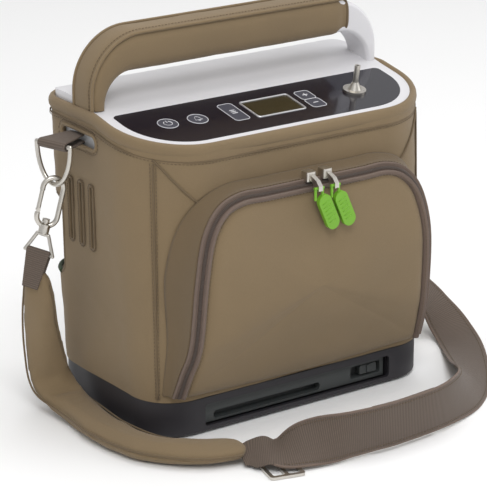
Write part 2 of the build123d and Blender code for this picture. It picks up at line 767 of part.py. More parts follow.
def panel_outline(grow):
    """Black overlay: straight back edge, front edge following the case."""
    half = PANEL_HALF + grow
    y_low = (PANEL_FRONT + 40) * slope_length - grow
    y_high = (PANEL_EDGE - 1 + 40) * slope_length + grow
    with BuildSketch() as outline:
        with Locations((0, (y_low + y_high) / 2)):
            Rectangle(2 * half, y_high - y_low)
        fillet(outline.vertices().group_by(Axis.Y)[0], radius=PANEL_RADIUS)
        fillet(outline.vertices().group_by(Axis.Y)[-1], radius=5)
    return outline.sketch


def control_holes(gap):
    """Openings for every button, the display and the gas outlet."""
    with BuildSketch() as holes:
        with Locations(POWER_AT, ALARM_AT):
            Circle(ROUND_BUTTON + gap)
        with Locations(MODE_AT):
            RectangleRounded(MODE_SIZE[0] + 2 * gap, MODE_SIZE[1] + 2 * gap, 3)
        with Locations(PLUS_AT, MINUS_AT):
            RectangleRounded(STEP_SIZE[0] + 2 * gap, STEP_SIZE[1] + 2 * gap, 3)
        with Locations(LCD_AT):
            RectangleRounded(LCD_SIZE[0] + 2 * gap, LCD_SIZE[1] + 2 * gap, 2)
        with Locations(OUTLET_AT):
            Circle(OUTLET_BORE + gap)
    return holes.sketch


deck_shell = case_prism(device_inset, RIM_FRONT - 16, RIM_BACK + 12)
deck_hollow = case_prism(device_inset + WALL, RIM_FRONT - 17, RIM_BACK + 13)
deck_top = deck_block(0, RIM_FRONT - 20)
deck_under = deck_block(WALL, RIM_FRONT - 21)
above_housing = under_rim(deck_drop - FIT)
handle_core = handle_loop(0, HANDLE_FRONT, HANDLE_BACK)

with BuildPart() as cover_hollow:
    add(deck_hollow)
    add(deck_under, mode=Mode.INTERSECT)

with BuildPart() as top_cover:
    add(deck_shell)
    add(deck_top, mode=Mode.INTERSECT)
    add(above_housing, mode=Mode.SUBTRACT)
    add(cover_hollow.part, mode=Mode.SUBTRACT)
    add(handle_core)
    with BuildSketch(deck_plane.offset(-PANEL_THICK - FIT)):
        add(panel_outline(FIT))
    extrude(amount=10, mode=Mode.SUBTRACT)
    with BuildSketch(deck_plane.offset(-20)):
        add(control_holes(FIT))
    extrude(amount=30, mode=Mode.SUBTRACT)
finish(top_cover.part, "top_cover")

with BuildPart() as control_panel:
    with BuildSketch(deck_plane.offset(-PANEL_THICK)):
        add(panel_outline(0))
        add(control_holes(FIT), mode=Mode.SUBTRACT)
    extrude(amount=PANEL_THICK + 0.2)
finish(control_panel.part, "control_panel")

with BuildPart() as lcd_display:
    with BuildSketch(deck_plane.offset(-BUTTON_DEEP)):
        with Locations(LCD_AT):
            RectangleRounded(*LCD_SIZE, 2)
    extrude(amount=BUTTON_DEEP)
finish(lcd_display.part, "lcd_display")

for name, place in (("power_button", POWER_AT), ("alarm_button", ALARM_AT)):
    with BuildPart() as button:
        with BuildSketch(deck_plane.offset(-BUTTON_DEEP)):
            with Locations(place):
                Circle(ROUND_BUTTON)
        extrude(amount=BUTTON_DEEP + BUTTON_PROUD)
        fillet(button.edges().sort_by(Axis.Z)[-1], radius=0.4)
    finish(button.part, name)

for name, place, size in (
    ("mode_button", MODE_AT, MODE_SIZE),
    ("plus_button", PLUS_AT, STEP_SIZE),
    ("minus_button", MINUS_AT, STEP_SIZE),
):
    with BuildPart() as button:
        with BuildSketch(deck_plane.offset(-BUTTON_DEEP)):
            with Locations(place):
                RectangleRounded(*size, 3)
        extrude(amount=BUTTON_DEEP + BUTTON_PROUD)
    finish(button.part, name)

with BuildPart() as oxygen_outlet:
    with BuildSketch(deck_plane.offset(-12)):
        with Locations(OUTLET_AT):
            Circle(OUTLET_BORE)
    extrude(amount=12.5)
    with BuildSketch(deck_plane.offset(0.3)):
        with Locations(OUTLET_AT):
            Circle(10)
    extrude(amount=2.2)
    with BuildSketch(deck_plane.offset(2.5)):
        with Locations(OUTLET_AT):
            Circle(6)
    with BuildSketch(deck_plane.offset(9)):
        with Locations(OUTLET_AT):
            Circle(OUTLET_STEM)
    loft()
    with BuildSketch(deck_plane.offset(9)):
        with Locations(OUTLET_AT):
            Circle(OUTLET_STEM)
    extrude(amount=15)
    with BuildSketch(deck_plane.offset(-13)):
        with Locations(OUTLET_AT):
            Circle(1.2)
    extrude(amount=60, mode=Mode.SUBTRACT)
finish(oxygen_outlet.part, "oxygen_outlet")

with BuildPart() as display_board:
    with BuildSketch(deck_plane.offset(-BUTTON_DEEP - 4)):
        with Locations((-27, 0)):
            Rectangle(180, 48)
    extrude(amount=1.6)
finish(display_board.part, "display_board")

SLEEVE_END = 115.0          # the right end of the handle stays bare
sleeve_outer = handle_loop(SLEEVE, HANDLE_FRONT - SLEEVE, HANDLE_BACK + SLEEVE)
sleeve_inner = handle_loop(FIT, HANDLE_FRONT - FIT, HANDLE_BACK + FIT)
sleeve_ground = deck_block(-GAP, RIM_FRONT - 20)

with BuildPart() as handle_sleeve:
    add(sleeve_outer)
    add(sleeve_inner, mode=Mode.SUBTRACT)
    split(bisect_by=Plane.YZ.offset(SLEEVE_END), keep=Keep.BOTTOM)
    add(sleeve_ground, mode=Mode.SUBTRACT)
    split(bisect_by=Plane.XY.offset(RIM_BACK + 0.5), keep=Keep.TOP)
finish(handle_sleeve.part, "handle_sleeve")

# ---------------------------------------------------------------- strap hardware, left side then mirrored
BAR_CENTRE = (-175.0, 18.5, 239.0)          # straight bar of the left D-ring
RIG_YAW = 18.0                              # the loop pulls this far round from square
WIRE = 2.0
LOOP_WIDTH = 30.0
RING_HALF = 18.0
RING_DROP = 34.0
HOOK_WIRE = 2.2
HOOK_HALF = 8.75
HOOK_LENGTH = 40.75
GATE_WIRE = 1.8
EYE_WIRE = 1.5
PIN = 2.0

along_bar = (-sin(radians(RIG_YAW)), cos(radians(RIG_YAW)), 0)
outward = (-cos(radians(RIG_YAW)), -sin(radians(RIG_YAW)), 0)
bar_plane = Plane(origin=BAR_CENTRE, x_dir=outward, z_dir=tuple(-c for c in along_bar))
ring_plane = Plane(origin=BAR_CENTRE, x_dir=along_bar, z_dir=outward)

with BuildPart() as webbing_loop:
    reach = 33.0
    turn = WIRE + FIT + STRAP_THICK
    with BuildSketch(bar_plane.offset(-LOOP_WIDTH / 2)):
        Circle(turn)
        with Locations((-reach / 2, 0)):
            Rectangle(reach, 2 * turn)
        Circle(WIRE + FIT, mode=Mode.SUBTRACT)
        with Locations((-reach / 2, 0)):
            Rectangle(reach, 2 * (turn - STRAP_THICK), mode=Mode.SUBTRACT)
        with Locations((-reach + 3, 0)):
            Rectangle(6, 2 * turn)
    extrude(amount=LOOP_WIDTH)
    split(bisect_by=Plane.YZ.offset(-CASE_WIDTH / 2 + FABRIC - FIT), keep=Keep.BOTTOM)

bar_start = ring_plane.from_local_coords((-RING_HALF, 0, 0))
bar_end = ring_plane.from_local_coords((RING_HALF, 0, 0))
with BuildPart() as d_ring:
    with BuildLine(ring_plane):
        EllipticalCenterArc((0, 0), RING_HALF, RING_DROP, start_angle=0, arc_size=180)
    with BuildSketch(Plane(origin=bar_end, x_dir=outward, z_dir=(0, 0, 1))):
        Circle(WIRE)
    sweep()
    with BuildSketch(Plane(origin=bar_start, x_dir=outward, z_dir=along_bar)):
        Circle(WIRE)
    extrude(amount=2 * RING_HALF)
    with Locations(bar_start, bar_end):
        Sphere(WIRE)

hook_up = Vector(0.25, -0.05, 0.966).normalized()
hook_across = Vector(-0.95, 0.3, 0)
hook_across = (hook_across - hook_up * hook_across.dot(hook_up)).normalized()
RING_PLAY = 1.0                             # free play between hook and ring
hook_top = Vector(*BAR_CENTRE) - Vector(0, 0, RING_DROP - WIRE - HOOK_WIRE - RING_PLAY) - hook_across
hook_plane = Plane(origin=hook_top, x_dir=hook_across, z_dir=hook_across.cross(hook_up))
BOSS_TOP = -HOOK_LENGTH + 1.6               # the boss under the hook turns on the eye's pin
BOSS_LOW = -HOOK_LENGTH - 5.5
GATE_PIVOT = -28.0
NOSE = -11.0
hook_nose = hook_plane.from_local_coords((HOOK_HALF, NOSE, 0))
gate_pivot = hook_plane.from_local_coords((HOOK_HALF, GATE_PIVOT, 0))


def across_hook(height):
    """Plane square to the hook's length at a local height."""
    return Plane(origin=hook_plane.from_local_coords((0, height, 0)), x_dir=hook_across, z_dir=hook_up)


with BuildPart() as snap_hook:
    with BuildLine(hook_plane):
        nose = Line((HOOK_HALF, NOSE), (HOOK_HALF, -HOOK_HALF + 0.5))
        crown = ThreePointArc(nose @ 1, (0, 0.4), (-HOOK_HALF, -HOOK_HALF + 0.5))
        back = Line(crown @ 1, (-HOOK_HALF, -HOOK_LENGTH + HOOK_HALF))
        foot = ThreePointArc(back @ 1, (0, -HOOK_LENGTH), (HOOK_HALF, -HOOK_LENGTH + HOOK_HALF))
        Line(foot @ 1, (HOOK_HALF, GATE_PIVOT - 2.1))
    with BuildSketch(Plane(origin=hook_nose, x_dir=hook_across, z_dir=hook_up)):
        Circle(HOOK_WIRE)
    sweep()
    with BuildSketch(across_hook(BOSS_LOW)):
        Circle(4.5)
    extrude(amount=BOSS_TOP - BOSS_LOW)
    with BuildSketch(across_hook(BOSS_LOW - 5)):
        Circle(PIN + 0.05)
    extrude(amount=16, mode=Mode.SUBTRACT)

with BuildPart() as hook_gate:
    with BuildSketch(Plane(origin=gate_pivot, x_dir=hook_across, z_dir=hook_up)):
        Circle(GATE_WIRE)
    extrude(amount=NOSE - GATE_PIVOT - 0.3)
    with BuildSketch(Plane(origin=gate_pivot, x_dir=hook_across, z_dir=hook_plane.z_dir)):
        Circle(GATE_WIRE)
    extrude(amount=GATE_WIRE, both=True)

eye_across = Vector(-0.6, 0.8, 0)
eye_across = (eye_across - hook_up * eye_across.dot(hook_up)).normalized()
EYE_TOP = BOSS_LOW - 0.2 - EYE_WIRE
EYE_LOW = EYE_TOP - 16.0
eye_plane = Plane(origin=hook_top, x_dir=eye_across, z_dir=eye_across.cross(hook_up))
EYE_HALF = 12.5

with BuildPart() as swivel_eye:
    corners = [(5, EYE_TOP), (EYE_HALF, EYE_LOW), (-EYE_HALF, EYE_LOW), (-5, EYE_TOP)]
    for start, end in zip(corners, corners[1:] + corners[:1]):
        tail = Vector(*eye_plane.from_local_coords((*start, 0)))
        head = Vector(*eye_plane.from_local_coords((*end, 0)))
        with BuildSketch(Plane(origin=tail, z_dir=head - tail)):
            Circle(EYE_WIRE)
        extrude(amount=(head - tail).length)
        with Locations(tail):
            Sphere(EYE_WIRE)
    with BuildSketch(across_hook(EYE_TOP)):
        Circle(PIN)
    extrude(amount=BOSS_TOP + 2.5 - EYE_TOP)
    with BuildSketch(across_hook(BOSS_TOP + 1.8)):
        Circle(3.2)
    extrude(amount=2.6)

eye_bar = eye_plane.from_local_coords((0, EYE_LOW, 0))
eye_bar = (eye_bar.X, eye_bar.Y, eye_bar.Z)
TAB_WIDTH = 18.5

with BuildPart() as strap_tab:
    tab_turn = EYE_WIRE + FIT + STRAP_THICK
    tab_plane = Plane(origin=eye_bar, x_dir=hook_up, z_dir=eye_across)
    with BuildSketch(tab_plane.offset(-TAB_WIDTH / 2)):
        Circle(tab_turn)
        with Locations((-8, 0)):
            Rectangle(16, 2 * tab_turn)
        Circle(EYE_WIRE + FIT, mode=Mode.SUBTRACT)
        with Locations((-4, 0)):
            Rectangle(8, 2 * (EYE_WIRE + FIT), mode=Mode.SUBTRACT)
    extrude(amount=TAB_WIDTH)

for piece, name in (
    (webbing_loop, "webbing_loop"),
    (d_ring, "d_ring"),
    (snap_hook, "snap_hook"),
    (hook_gate, "hook_gate"),
    (swivel_eye, "swivel_eye"),
    (strap_tab, "strap_tab"),
):
    finish(piece.part, f"{name}_left")
    with BuildPart() as right_piece:
        mirror(piece.part, about=Plane.YZ)
    finish(right_piece.part, f"{name}_right")

tab_foot = Vector(*eye_bar) - hook_up * 16.4

# ---------------------------------------------------------------- shoulder pad, webbing and slide buckle
PAD_WIDTH = 40.0
PAD_THICK = 13.0
pad_start = tab_foot - hook_up * 5.5
pad_stations = [
    ((pad_start.X, pad_start.Y, pad_start.Z), (0.6, -0.8, 0), 22),
    ((-189, 24, 112), (0.6, -0.8, 0), 29),
    ((-184, 32, 84), (0.6, -0.8, 0), 33),
    ((-178, 38, 54), (0.8, -0.6, 0), 35),
    ((-173, 38, 27), (0.92, -0.38, 0), 37),
    ((-168, 22, 11), (1, -0.1, 0), PAD_WIDTH),
    ((-167, -6, 8), (1, 0, 0), PAD_WIDTH),
    ((-169, -48, 8), (1, 0.05, 0), PAD_WIDTH),
    ((-160, -94, 8), (0.85, 0.5, 0), PAD_WIDTH),
    ((-136, -126, 8), (0.55, 0.8, 0), PAD_WIDTH),
    ((-113, -140, 8), (0.4, 0.9, 0), 34),
    ((-100, -144, 8), (0.35, 0.93, 0), 20),
]
shoulder_pad = ribbon(pad_stations, PAD_WIDTH, PAD_THICK, PAD_THICK / 2 - 0.5)
finish(shoulder_pad, "shoulder_pad")

UP = (0, 0, 1)
right_foot = Vector(-tab_foot.X, tab_foot.Y, tab_foot.Z)
web_stations = [
    ((-94.5, -148.5, 9.5), (0.35, 0.9, 0.3), 18),
    ((-93.5, -155, 11), (0.4, 0.85, 0.3), 30),
    ((-90, -162, 11), (0.3, 0.9, 0.22), STRAP_WIDTH),
    ((-80, -169, 10.4), (0.2, 0.95, 0.2)),
    ((-62, -180, 17.5), (0.1, 0.7, 0.7)),
    ((-38, -193, 22), (0, 0.15, 1)),
    ((-10, -197.5, 23), UP),
    ((18, -198, 23), UP),
    ((60, -194, 23), UP),
    ((94, -181, 21), (-0.1, 0.15, 1)),
    ((126, -158, 16), (-0.4, 0.35, 0.8)),
    ((160, -118, 9), (-0.7, 0.5, 0.4)),
    ((200, -60, 3), (-0.82, 0.57, 0)),
    ((213, -28, 9), (-0.9, 0.35, 0)),
    ((210, -8, 26), (-0.95, -0.2, 0)),
    ((200, 2, 48), (-0.75, -0.65, 0)),
    ((197, 12, 80), (-0.6, -0.8, 0), 34),
    ((right_foot.X + 3, right_foot.Y - 1, right_foot.Z - 16), (-0.6, -0.8, 0), 24),
    ((right_foot.X + 1, right_foot.Y, right_foot.Z - 4), (-0.6, -0.8, 0), 22),
]
TAIL_GAP = 2.6
tail_stations = [
    ((-8, -197.5 + TAIL_GAP, 23), UP),
    ((18, -198 + TAIL_GAP, 23), UP),
    ((58, -194.4 + TAIL_GAP, 23), UP),
]
with BuildPart() as strap_webbing:
    add(ribbon(web_stations, STRAP_WIDTH, STRAP_THICK))
    add(ribbon(tail_stations, STRAP_WIDTH, STRAP_THICK))
finish(strap_webbing.part, "strap_webbing")

BUCKLE = (30.0, 42.0, 2.4)
BUCKLE_BAR = 3.4
BUCKLE_AT = (-87.0, -175.0, 1.5)            # lies on the floor under the webbing's fold
buckle_plane = Plane(origin=BUCKLE_AT, x_dir=(0.97, -0.24, 0), z_dir=(0, 0, 1))
with BuildPart() as slide_buckle:
    with BuildSketch(buckle_plane.offset(-BUCKLE[2] / 2)):
        RectangleRounded(BUCKLE[0], BUCKLE[1], 3)
        with Locations((BUCKLE[0] / 4 - BUCKLE_BAR / 4, 0), (BUCKLE_BAR / 4 - BUCKLE[0] / 4, 0)):
            RectangleRounded(
                BUCKLE[0] / 2 - 1.5 * BUCKLE_BAR,
                BUCKLE[1] - 2 * BUCKLE_BAR,
                1.5,
                mode=Mode.SUBTRACT,
            )
    extrude(amount=BUCKLE[2])
finish(slide_buckle.part, "slide_buckle")
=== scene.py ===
"""Portable oxygen concentrator in its soft case: the looks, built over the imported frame."""
import json
from math import atan2, cos, exp, pi, radians, sin, sqrt, tan

import bmesh
import bpy
from mathutils import Matrix, Vector, noise


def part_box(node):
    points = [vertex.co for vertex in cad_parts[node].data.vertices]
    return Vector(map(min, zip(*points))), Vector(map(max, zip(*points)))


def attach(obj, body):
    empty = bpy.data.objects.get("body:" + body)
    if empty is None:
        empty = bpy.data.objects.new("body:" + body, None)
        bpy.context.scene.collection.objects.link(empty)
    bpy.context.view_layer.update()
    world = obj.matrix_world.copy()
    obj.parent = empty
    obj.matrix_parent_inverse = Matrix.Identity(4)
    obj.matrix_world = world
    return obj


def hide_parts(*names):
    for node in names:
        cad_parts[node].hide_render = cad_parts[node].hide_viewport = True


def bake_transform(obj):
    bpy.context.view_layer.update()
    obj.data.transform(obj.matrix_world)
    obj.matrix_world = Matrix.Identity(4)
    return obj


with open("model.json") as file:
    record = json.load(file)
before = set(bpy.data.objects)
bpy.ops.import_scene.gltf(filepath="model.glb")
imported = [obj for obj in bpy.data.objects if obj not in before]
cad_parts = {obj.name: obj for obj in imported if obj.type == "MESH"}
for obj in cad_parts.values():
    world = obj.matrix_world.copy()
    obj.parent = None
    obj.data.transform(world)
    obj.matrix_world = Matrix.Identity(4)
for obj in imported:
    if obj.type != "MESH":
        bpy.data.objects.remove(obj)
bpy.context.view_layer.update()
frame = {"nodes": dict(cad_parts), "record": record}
nodes = frame["nodes"]
MM = 0.001
UNIT = "unit"

# ------------------------------------------------------------ sizes, in millimetres


def box_mm(node):
    """A CAD node's box in millimetres."""
    low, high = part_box(node)
    return low / MM, high / MM


case_low, case_high = box_mm("case_shell")
zip_low, zip_high = box_mm("zip_tape")
pocket_low, pocket_high = box_mm("front_pocket")
sleeve_low, sleeve_high = box_mm("handle_sleeve")
cover_low, cover_high = box_mm("top_cover")

RIM_WIDTH = case_high.x - case_low.x
FOOT_WIDTH = RIM_WIDTH - 8.0
RIM_DEPTH = case_high.y - case_low.y
FOOT_DEPTH = RIM_DEPTH - 1.0
RIM_RADIUS = 62.0
REAR_RADIUS = 28.0
FOOT_RADIUS = 38.0
FABRIC = 4.0
CASE_FOOT = case_low.z
RIM_BACK = case_high.z
TILT = radians(10.3)
RIM_FRONT = RIM_BACK - 15.4
DECK_NORMAL = Vector((0, -sin(TILT), cos(TILT)))
DECK_UP = Vector((0, cos(TILT), sin(TILT)))
PANEL_EDGE = -7.5
PANEL_Z = RIM_FRONT + (PANEL_EDGE + RIM_DEPTH / 2) * tan(TILT) + 0.4
ZIP_TOP = zip_high.z - 3.5
ZIP_PLANE = 102.0
ZIP_WAIST = 107.5
ZIP_SINK = 86.0
ZIP_HALF_LOW = 123.0
ZIP_HALF_MID = 116.0
SHOULDER = 42.0
POCKET_LOW = pocket_low.z
STRAP = 38.0


# ------------------------------------------------------------ mesh helpers
def make_object(name, verts, faces, smooth=True, uvs=None):
    """A mesh object from millimetre points."""
    mesh = bpy.data.meshes.new(name)
    mesh.from_pydata([tuple(Vector(v) * MM) for v in verts], [], faces)
    if uvs:
        layer = mesh.uv_layers.new(name="strip")
        for loop in mesh.loops:
            layer.data[loop.index].uv = uvs[loop.vertex_index]
    for polygon in mesh.polygons:
        polygon.use_smooth = smooth
    obj = bpy.data.objects.new(name, mesh)
    bpy.context.scene.collection.objects.link(obj)
    clean = bmesh.new()
    clean.from_mesh(mesh)
    bmesh.ops.recalc_face_normals(clean, faces=clean.faces)
    clean.to_mesh(mesh)
    clean.free()
    return obj


def rows_object(name, rows, closed=True, caps=True, uvs=None, loop=False):
    """A surface through rows of points. Rows may close on themselves, ends may be capped."""
    count = len(rows[0])
    verts = [p for row in rows for p in row]
    faces = []
    for i in range(len(rows) if loop else len(rows) - 1):
        j = (i + 1) % len(rows)
        for k in range(count if closed else count - 1):
            m = (k + 1) % count
            faces.append((i * count + k, i * count + m, j * count + m, j * count + k))
    if caps and closed and not loop:
        faces.append(tuple(range(count)))
        faces.append(tuple((len(rows) - 1) * count + k for k in range(count)))
    flat = [uv for row in uvs for uv in row] if uvs else None
    return make_object(name, verts, faces, uvs=flat)


def smooth_curve(points, steps):
    """Catmull-Rom curve through points, any number of values in each."""
    ends = [points[0]] + list(points) + [points[-1]]
    out = []
    for i in range(1, len(ends) - 2):
        p0, p1, p2, p3 = ends[i - 1:i + 3]
        for s in range(steps):
            t = s / steps
            out.append([
                0.5 * (2 * b + (c - a) * t + (2 * a - 5 * b + 4 * c - d) * t * t
                       + (3 * b - a - 3 * c + d) * t ** 3)
                for a, b, c, d in zip(p0, p1, p2, p3)
            ])
    out.append(list(points[-1]))
    return out


def path_frames(points, across=None, loop=False):
    """(point, tangent, side, up) along a path; side follows across where it is given."""
    points = [Vector(p) for p in points]
    out = []
    side = None
    for i, p in enumerate(points):
        if loop:
            ahead, behind = points[(i + 1) % len(points)], points[i - 1]
        else:
            ahead, behind = points[min(i + 1, len(points) - 1)], points[max(i - 1, 0)]
        tangent = (ahead - behind).normalized()
        if across:
            side = Vector(across[i])
        elif side is None:
            side = tangent.orthogonal()
        side = (side - tangent * side.dot(tangent)).normalized()
        out.append((p, tangent, side.copy(), tangent.cross(side)))
    return out


def tube(name, points, radius, sides=10, loop=False, flat=1.0, across=None):
    """A round cord along a path; flat squeezes it along its second direction."""
    rows = []
    for p, _, side, up in path_frames(points, across, loop):
        rows.append([
            p + side * radius * cos(2 * pi * k / sides) + up * radius * flat * sin(2 * pi * k / sides)
            for k in range(sides)
        ])
    return rows_object(name, rows, loop=loop)


def strip(name, stations, width, thick, steps=8, crown=0.0, soft=False, sides=28):
    """A strap through stations of (centre, across[, width]), with length and width in its UV."""
    table = []
    for station in stations:
        local = station[2] if len(station) > 2 else width
        table.append(list(station[0]) + list(Vector(station[1]).normalized()) + [local])
    fine = smooth_curve(table, steps)
    centres = [row[:3] for row in fine]
    frames = path_frames(centres, [row[3:6] for row in fine])
    rows, uvs, length = [], [], 0.0
    for i, (p, _, side, up) in enumerate(frames):
        if i:
            length += (p - frames[i - 1][0]).length
        half, depth = fine[i][6] / 2, thick / 2
        if soft:
            end = min(i, len(frames) - 1 - i) / 7
            fade = sqrt(max(0.02, 1 - (1 - min(1, end)) ** 2))
            half, depth = half * fade, depth * fade
        power = 2 / 3.0 if soft else 2 / 7.0
        row, uv = [], []
        for k in range(sides):
            a = 2 * pi * k / sides
            c, s = cos(a), sin(a)
            x = half * (abs(c) ** power) * (1 if c > 0 else -1)
            z = depth * (abs(s) ** power) * (1 if s > 0 else -1)
            z += crown * (1 - (x / half) ** 2)
            row.append(p + side * x + up * z)
            uv.append((length * MM, x * MM))
        rows.append(row)
        uvs.append(uv)
    return rows_object(name, rows, uvs=uvs), frames, fine


def stitches(name, points, pitch=3.2, length=2.2, radius=0.32, loop=False):
    """A running stitch: short rounded thread lengths along a path, in one mesh."""
    points = [Vector(p) for p in points]
    if loop:
        points.append(points[0])
    verts, faces = [], []
    walk, target = 0.0, pitch / 2
    for start, end in zip(points, points[1:]):
        span = (end - start).length
        if span < 1e-6:
            continue
        direction = (end - start) / span
        side = direction.orthogonal().normalized()
        up = direction.cross(side)
        while target < walk + span:
            centre = start + direction * (target - walk)
            base = len(verts)
            for t, grow in ((-0.5, 0.35), (-0.3, 1), (0.3, 1), (0.5, 0.35)):
                for k in range(6):
                    a = pi * k / 3
                    verts.append(
                        centre + direction * t * length
                        + (side * cos(a) + up * sin(a)) * radius * grow
                    )
            for r in range(3):
                for k in range(6):
                    m = (k + 1) % 6
                    faces.append((base + r * 6 + k, base + r * 6 + m,
                                  base + r * 6 + 6 + m, base + r * 6 + 6 + k))
            faces.append(tuple(base + k for k in range(6)))
            faces.append(tuple(base + 18 + k for k in range(6)))
            target += pitch
        walk += span
    return make_object(name, verts, faces)


def prism(outline, place, low, high):
    """A closed block: a 2-D outline carried along a direction by place(a, b, t)."""
    rows = [[place(a, b, t) for a, b in outline] for t in (low, high)]
    return rows_object("cutter", rows)


def slot_outline(centre_a, centre_b, size_a, size_b, radius, steps=8):
    """Rounded rectangle outline."""
    out = []
    for corner in range(4):
        ca = size_a / 2 - radius if corner in (0, 3) else radius - size_a / 2
        cb = size_b / 2 - radius if corner in (0, 1) else radius - size_b / 2
        for k in range(steps + 1):
            a = pi / 2 * (corner + k / steps)
            out.append((centre_a + ca + radius * cos(a), centre_b + cb + radius * sin(a)))
    return out


def join(name, objects):
    """One mesh object from several."""
    built = bmesh.new()
    for obj in objects:
        built.from_mesh(obj.data)
        bpy.data.objects.remove(obj)
    mesh = bpy.data.meshes.new(name)
    built.to_mesh(mesh)
    built.free()
    for polygon in mesh.polygons:
        polygon.use_smooth = True
    obj = bpy.data.objects.new(name, mesh)
    bpy.context.scene.collection.objects.link(obj)
    return obj


def apply_modifiers(obj):
    """Bakes an object's modifiers into its mesh."""
    bpy.context.view_layer.update()
    graph = bpy.context.evaluated_depsgraph_get()
    mesh = bpy.data.meshes.new_from_object(obj.evaluated_get(graph))
    obj.modifiers.clear()
    obj.data = mesh
    for polygon in mesh.polygons:
        polygon.use_smooth = True


def puff(obj, voxel, cap, pressure=4.0):
    """Fills a closed soft form with air in a short cloth simulation, moves capped."""
    remesh = obj.modifiers.new("remesh", "REMESH")
    remesh.mode = "VOXEL"
    remesh.voxel_size = voxel * MM
    apply_modifiers(obj)
    before = [v.co.copy() for v in obj.data.vertices]
    cloth = obj.modifiers.new("cloth", "CLOTH")
    cloth.settings.use_pressure = True
    cloth.settings.uniform_pressure_force = pressure
    cloth.settings.quality = 5
    cloth.settings.mass = 0.3
    cloth.settings.tension_stiffness = 15
    cloth.settings.compression_stiffness = 15
    cloth.settings.effector_weights.gravity = 0
    for step in range(1, 21):
        bpy.context.scene.frame_set(step)
    graph = bpy.context.evaluated_depsgraph_get()
    after = [v.co.copy() for v in obj.evaluated_get(graph).data.vertices]
    obj.modifiers.clear()
    for vertex, old, new in zip(obj.data.vertices, before, after):
        move = new - old
        if move.length > cap * MM:
            move = move.normalized() * cap * MM
        vertex.co = old + move
    bpy.context.scene.frame_set(1)


def subdivide(obj, levels=1):
    obj.modifiers.new("subdivision", "SUBSURF").levels = levels
    obj.modifiers["subdivision"].render_levels = levels
    apply_modifiers(obj)


# ------------------------------------------------------------ materials
class Nodes:
    """Short spellings for building a node material."""

    def __init__(self, name, colour, rough, metal=0.0):
        self.material = bpy.data.materials.new(name)
        self.material.use_nodes = True
        self.tree = self.material.node_tree
        self.shader = self.tree.nodes["Principled BSDF"]
        self.shader.inputs["Base Color"].default_value = (*colour, 1)
        self.shader.inputs["Roughness"].default_value = rough
        self.shader.inputs["Metallic"].default_value = metal
        self.colour = colour

    def add(self, kind, **values):
        node = self.tree.nodes.new(kind)
        for key, value in values.items():
            if key in node.inputs:
                node.inputs[key].default_value = value
            else:
                setattr(node, key, value)
        return node

    def link(self, start, end):
        self.tree.links.new(start, end)

    def where(self, kind="Object"):
        return self.add("ShaderNodeTexCoord").outputs[kind]

    def noise(self, scale, detail=3.0, source=None):
        node = self.add("ShaderNodeTexNoise")
        node.inputs["Scale"].default_value = scale
        node.inputs["Detail"].default_value = detail
        self.link(source or self.where(), node.inputs["Vector"])
        return node.outputs["Fac"]

    def math(self, operation, a, b=None):
        node = self.add("ShaderNodeMath", operation=operation)
        for value, socket in ((a, node.inputs[0]), (b, node.inputs[1])):
            if value is None:
                continue
            if isinstance(value, (int, float)):
                socket.default_value = value
            else:
                self.link(value, socket)
        return node.outputs[0]

    def mix(self, fac, dark, light):
        node = self.add("ShaderNodeMix", data_type="RGBA")
        self.link(fac, node.inputs[0])
        for value, socket in ((dark, node.inputs[6]), (light, node.inputs[7])):
            if isinstance(value, tuple):
                socket.default_value = (*value, 1)
            else:
                self.link(value, socket)
        return node.outputs[2]

    def tint(self, low, high):
        dark = tuple(c * low for c in self.colour)
        light = tuple(min(1, c * high) for c in self.colour)
        return dark, light

    def paint(self, colour):
        self.link(colour, self.shader.inputs["Base Color"])

    def bump(self, height, strength, distance):
        node = self.add("ShaderNodeBump")
        node.inputs["Strength"].default_value = strength
        node.inputs["Distance"].default_value = distance * MM
        self.link(height, node.inputs["Height"])
        self.link(node.outputs[0], self.shader.inputs["Normal"])

    def rough(self, fac, low, high):
        node = self.add("ShaderNodeMapRange")
        node.inputs["To Min"].default_value = low
        node.inputs["To Max"].default_value = high
        self.link(fac, node.inputs["Value"])
        self.link(node.outputs[0], self.shader.inputs["Roughness"])


def linear(r, g, b):
    """An sRGB colour in 0-255 as linear values."""
    return tuple((c / 255) ** 2.2 for c in (r, g, b))


def knit_material(name, colour, pitch=0.9, rough=0.9):
    """Fine-knit neoprene: tiny loops, soft cloudy colour, a little sheen."""
    m = Nodes(name, colour, rough)
    parts = m.add("ShaderNodeSeparateXYZ")
    m.link(m.where(), parts.inputs[0])
    k = 2 * pi / (pitch * MM)
    flat = m.math("ADD", parts.outputs[0], parts.outputs[1])
    wale = m.math("SINE", m.math("MULTIPLY", flat, k))
    course = m.math("SINE", m.math("MULTIPLY", parts.outputs[2], k * 0.8))
    loops = m.math("MULTIPLY", wale, course)
    grain = m.noise(900.0, 4.0)
    cloud = m.noise(14.0, 5.0)
    dark, light = m.tint(0.78, 1.2)
    base = m.mix(cloud, dark, light)
    fleck = m.mix(grain, tuple(c * 0.82 for c in m.colour), tuple(c * 1.12 for c in m.colour))
    blend = m.add("ShaderNodeMix", data_type="RGBA")
    blend.inputs[0].default_value = 0.45
    m.link(base, blend.inputs[6])
    m.link(fleck, blend.inputs[7])
    m.paint(blend.outputs[2])
    m.bump(m.math("ADD", m.math("MULTIPLY", loops, 0.5), grain), 0.35, 0.25)
    m.rough(cloud, rough - 0.1, min(1, rough + 0.05))
    m.shader.inputs["Sheen Weight"].default_value = 0.12
    m.shader.inputs["Sheen Roughness"].default_value = 0.5
    return m.material


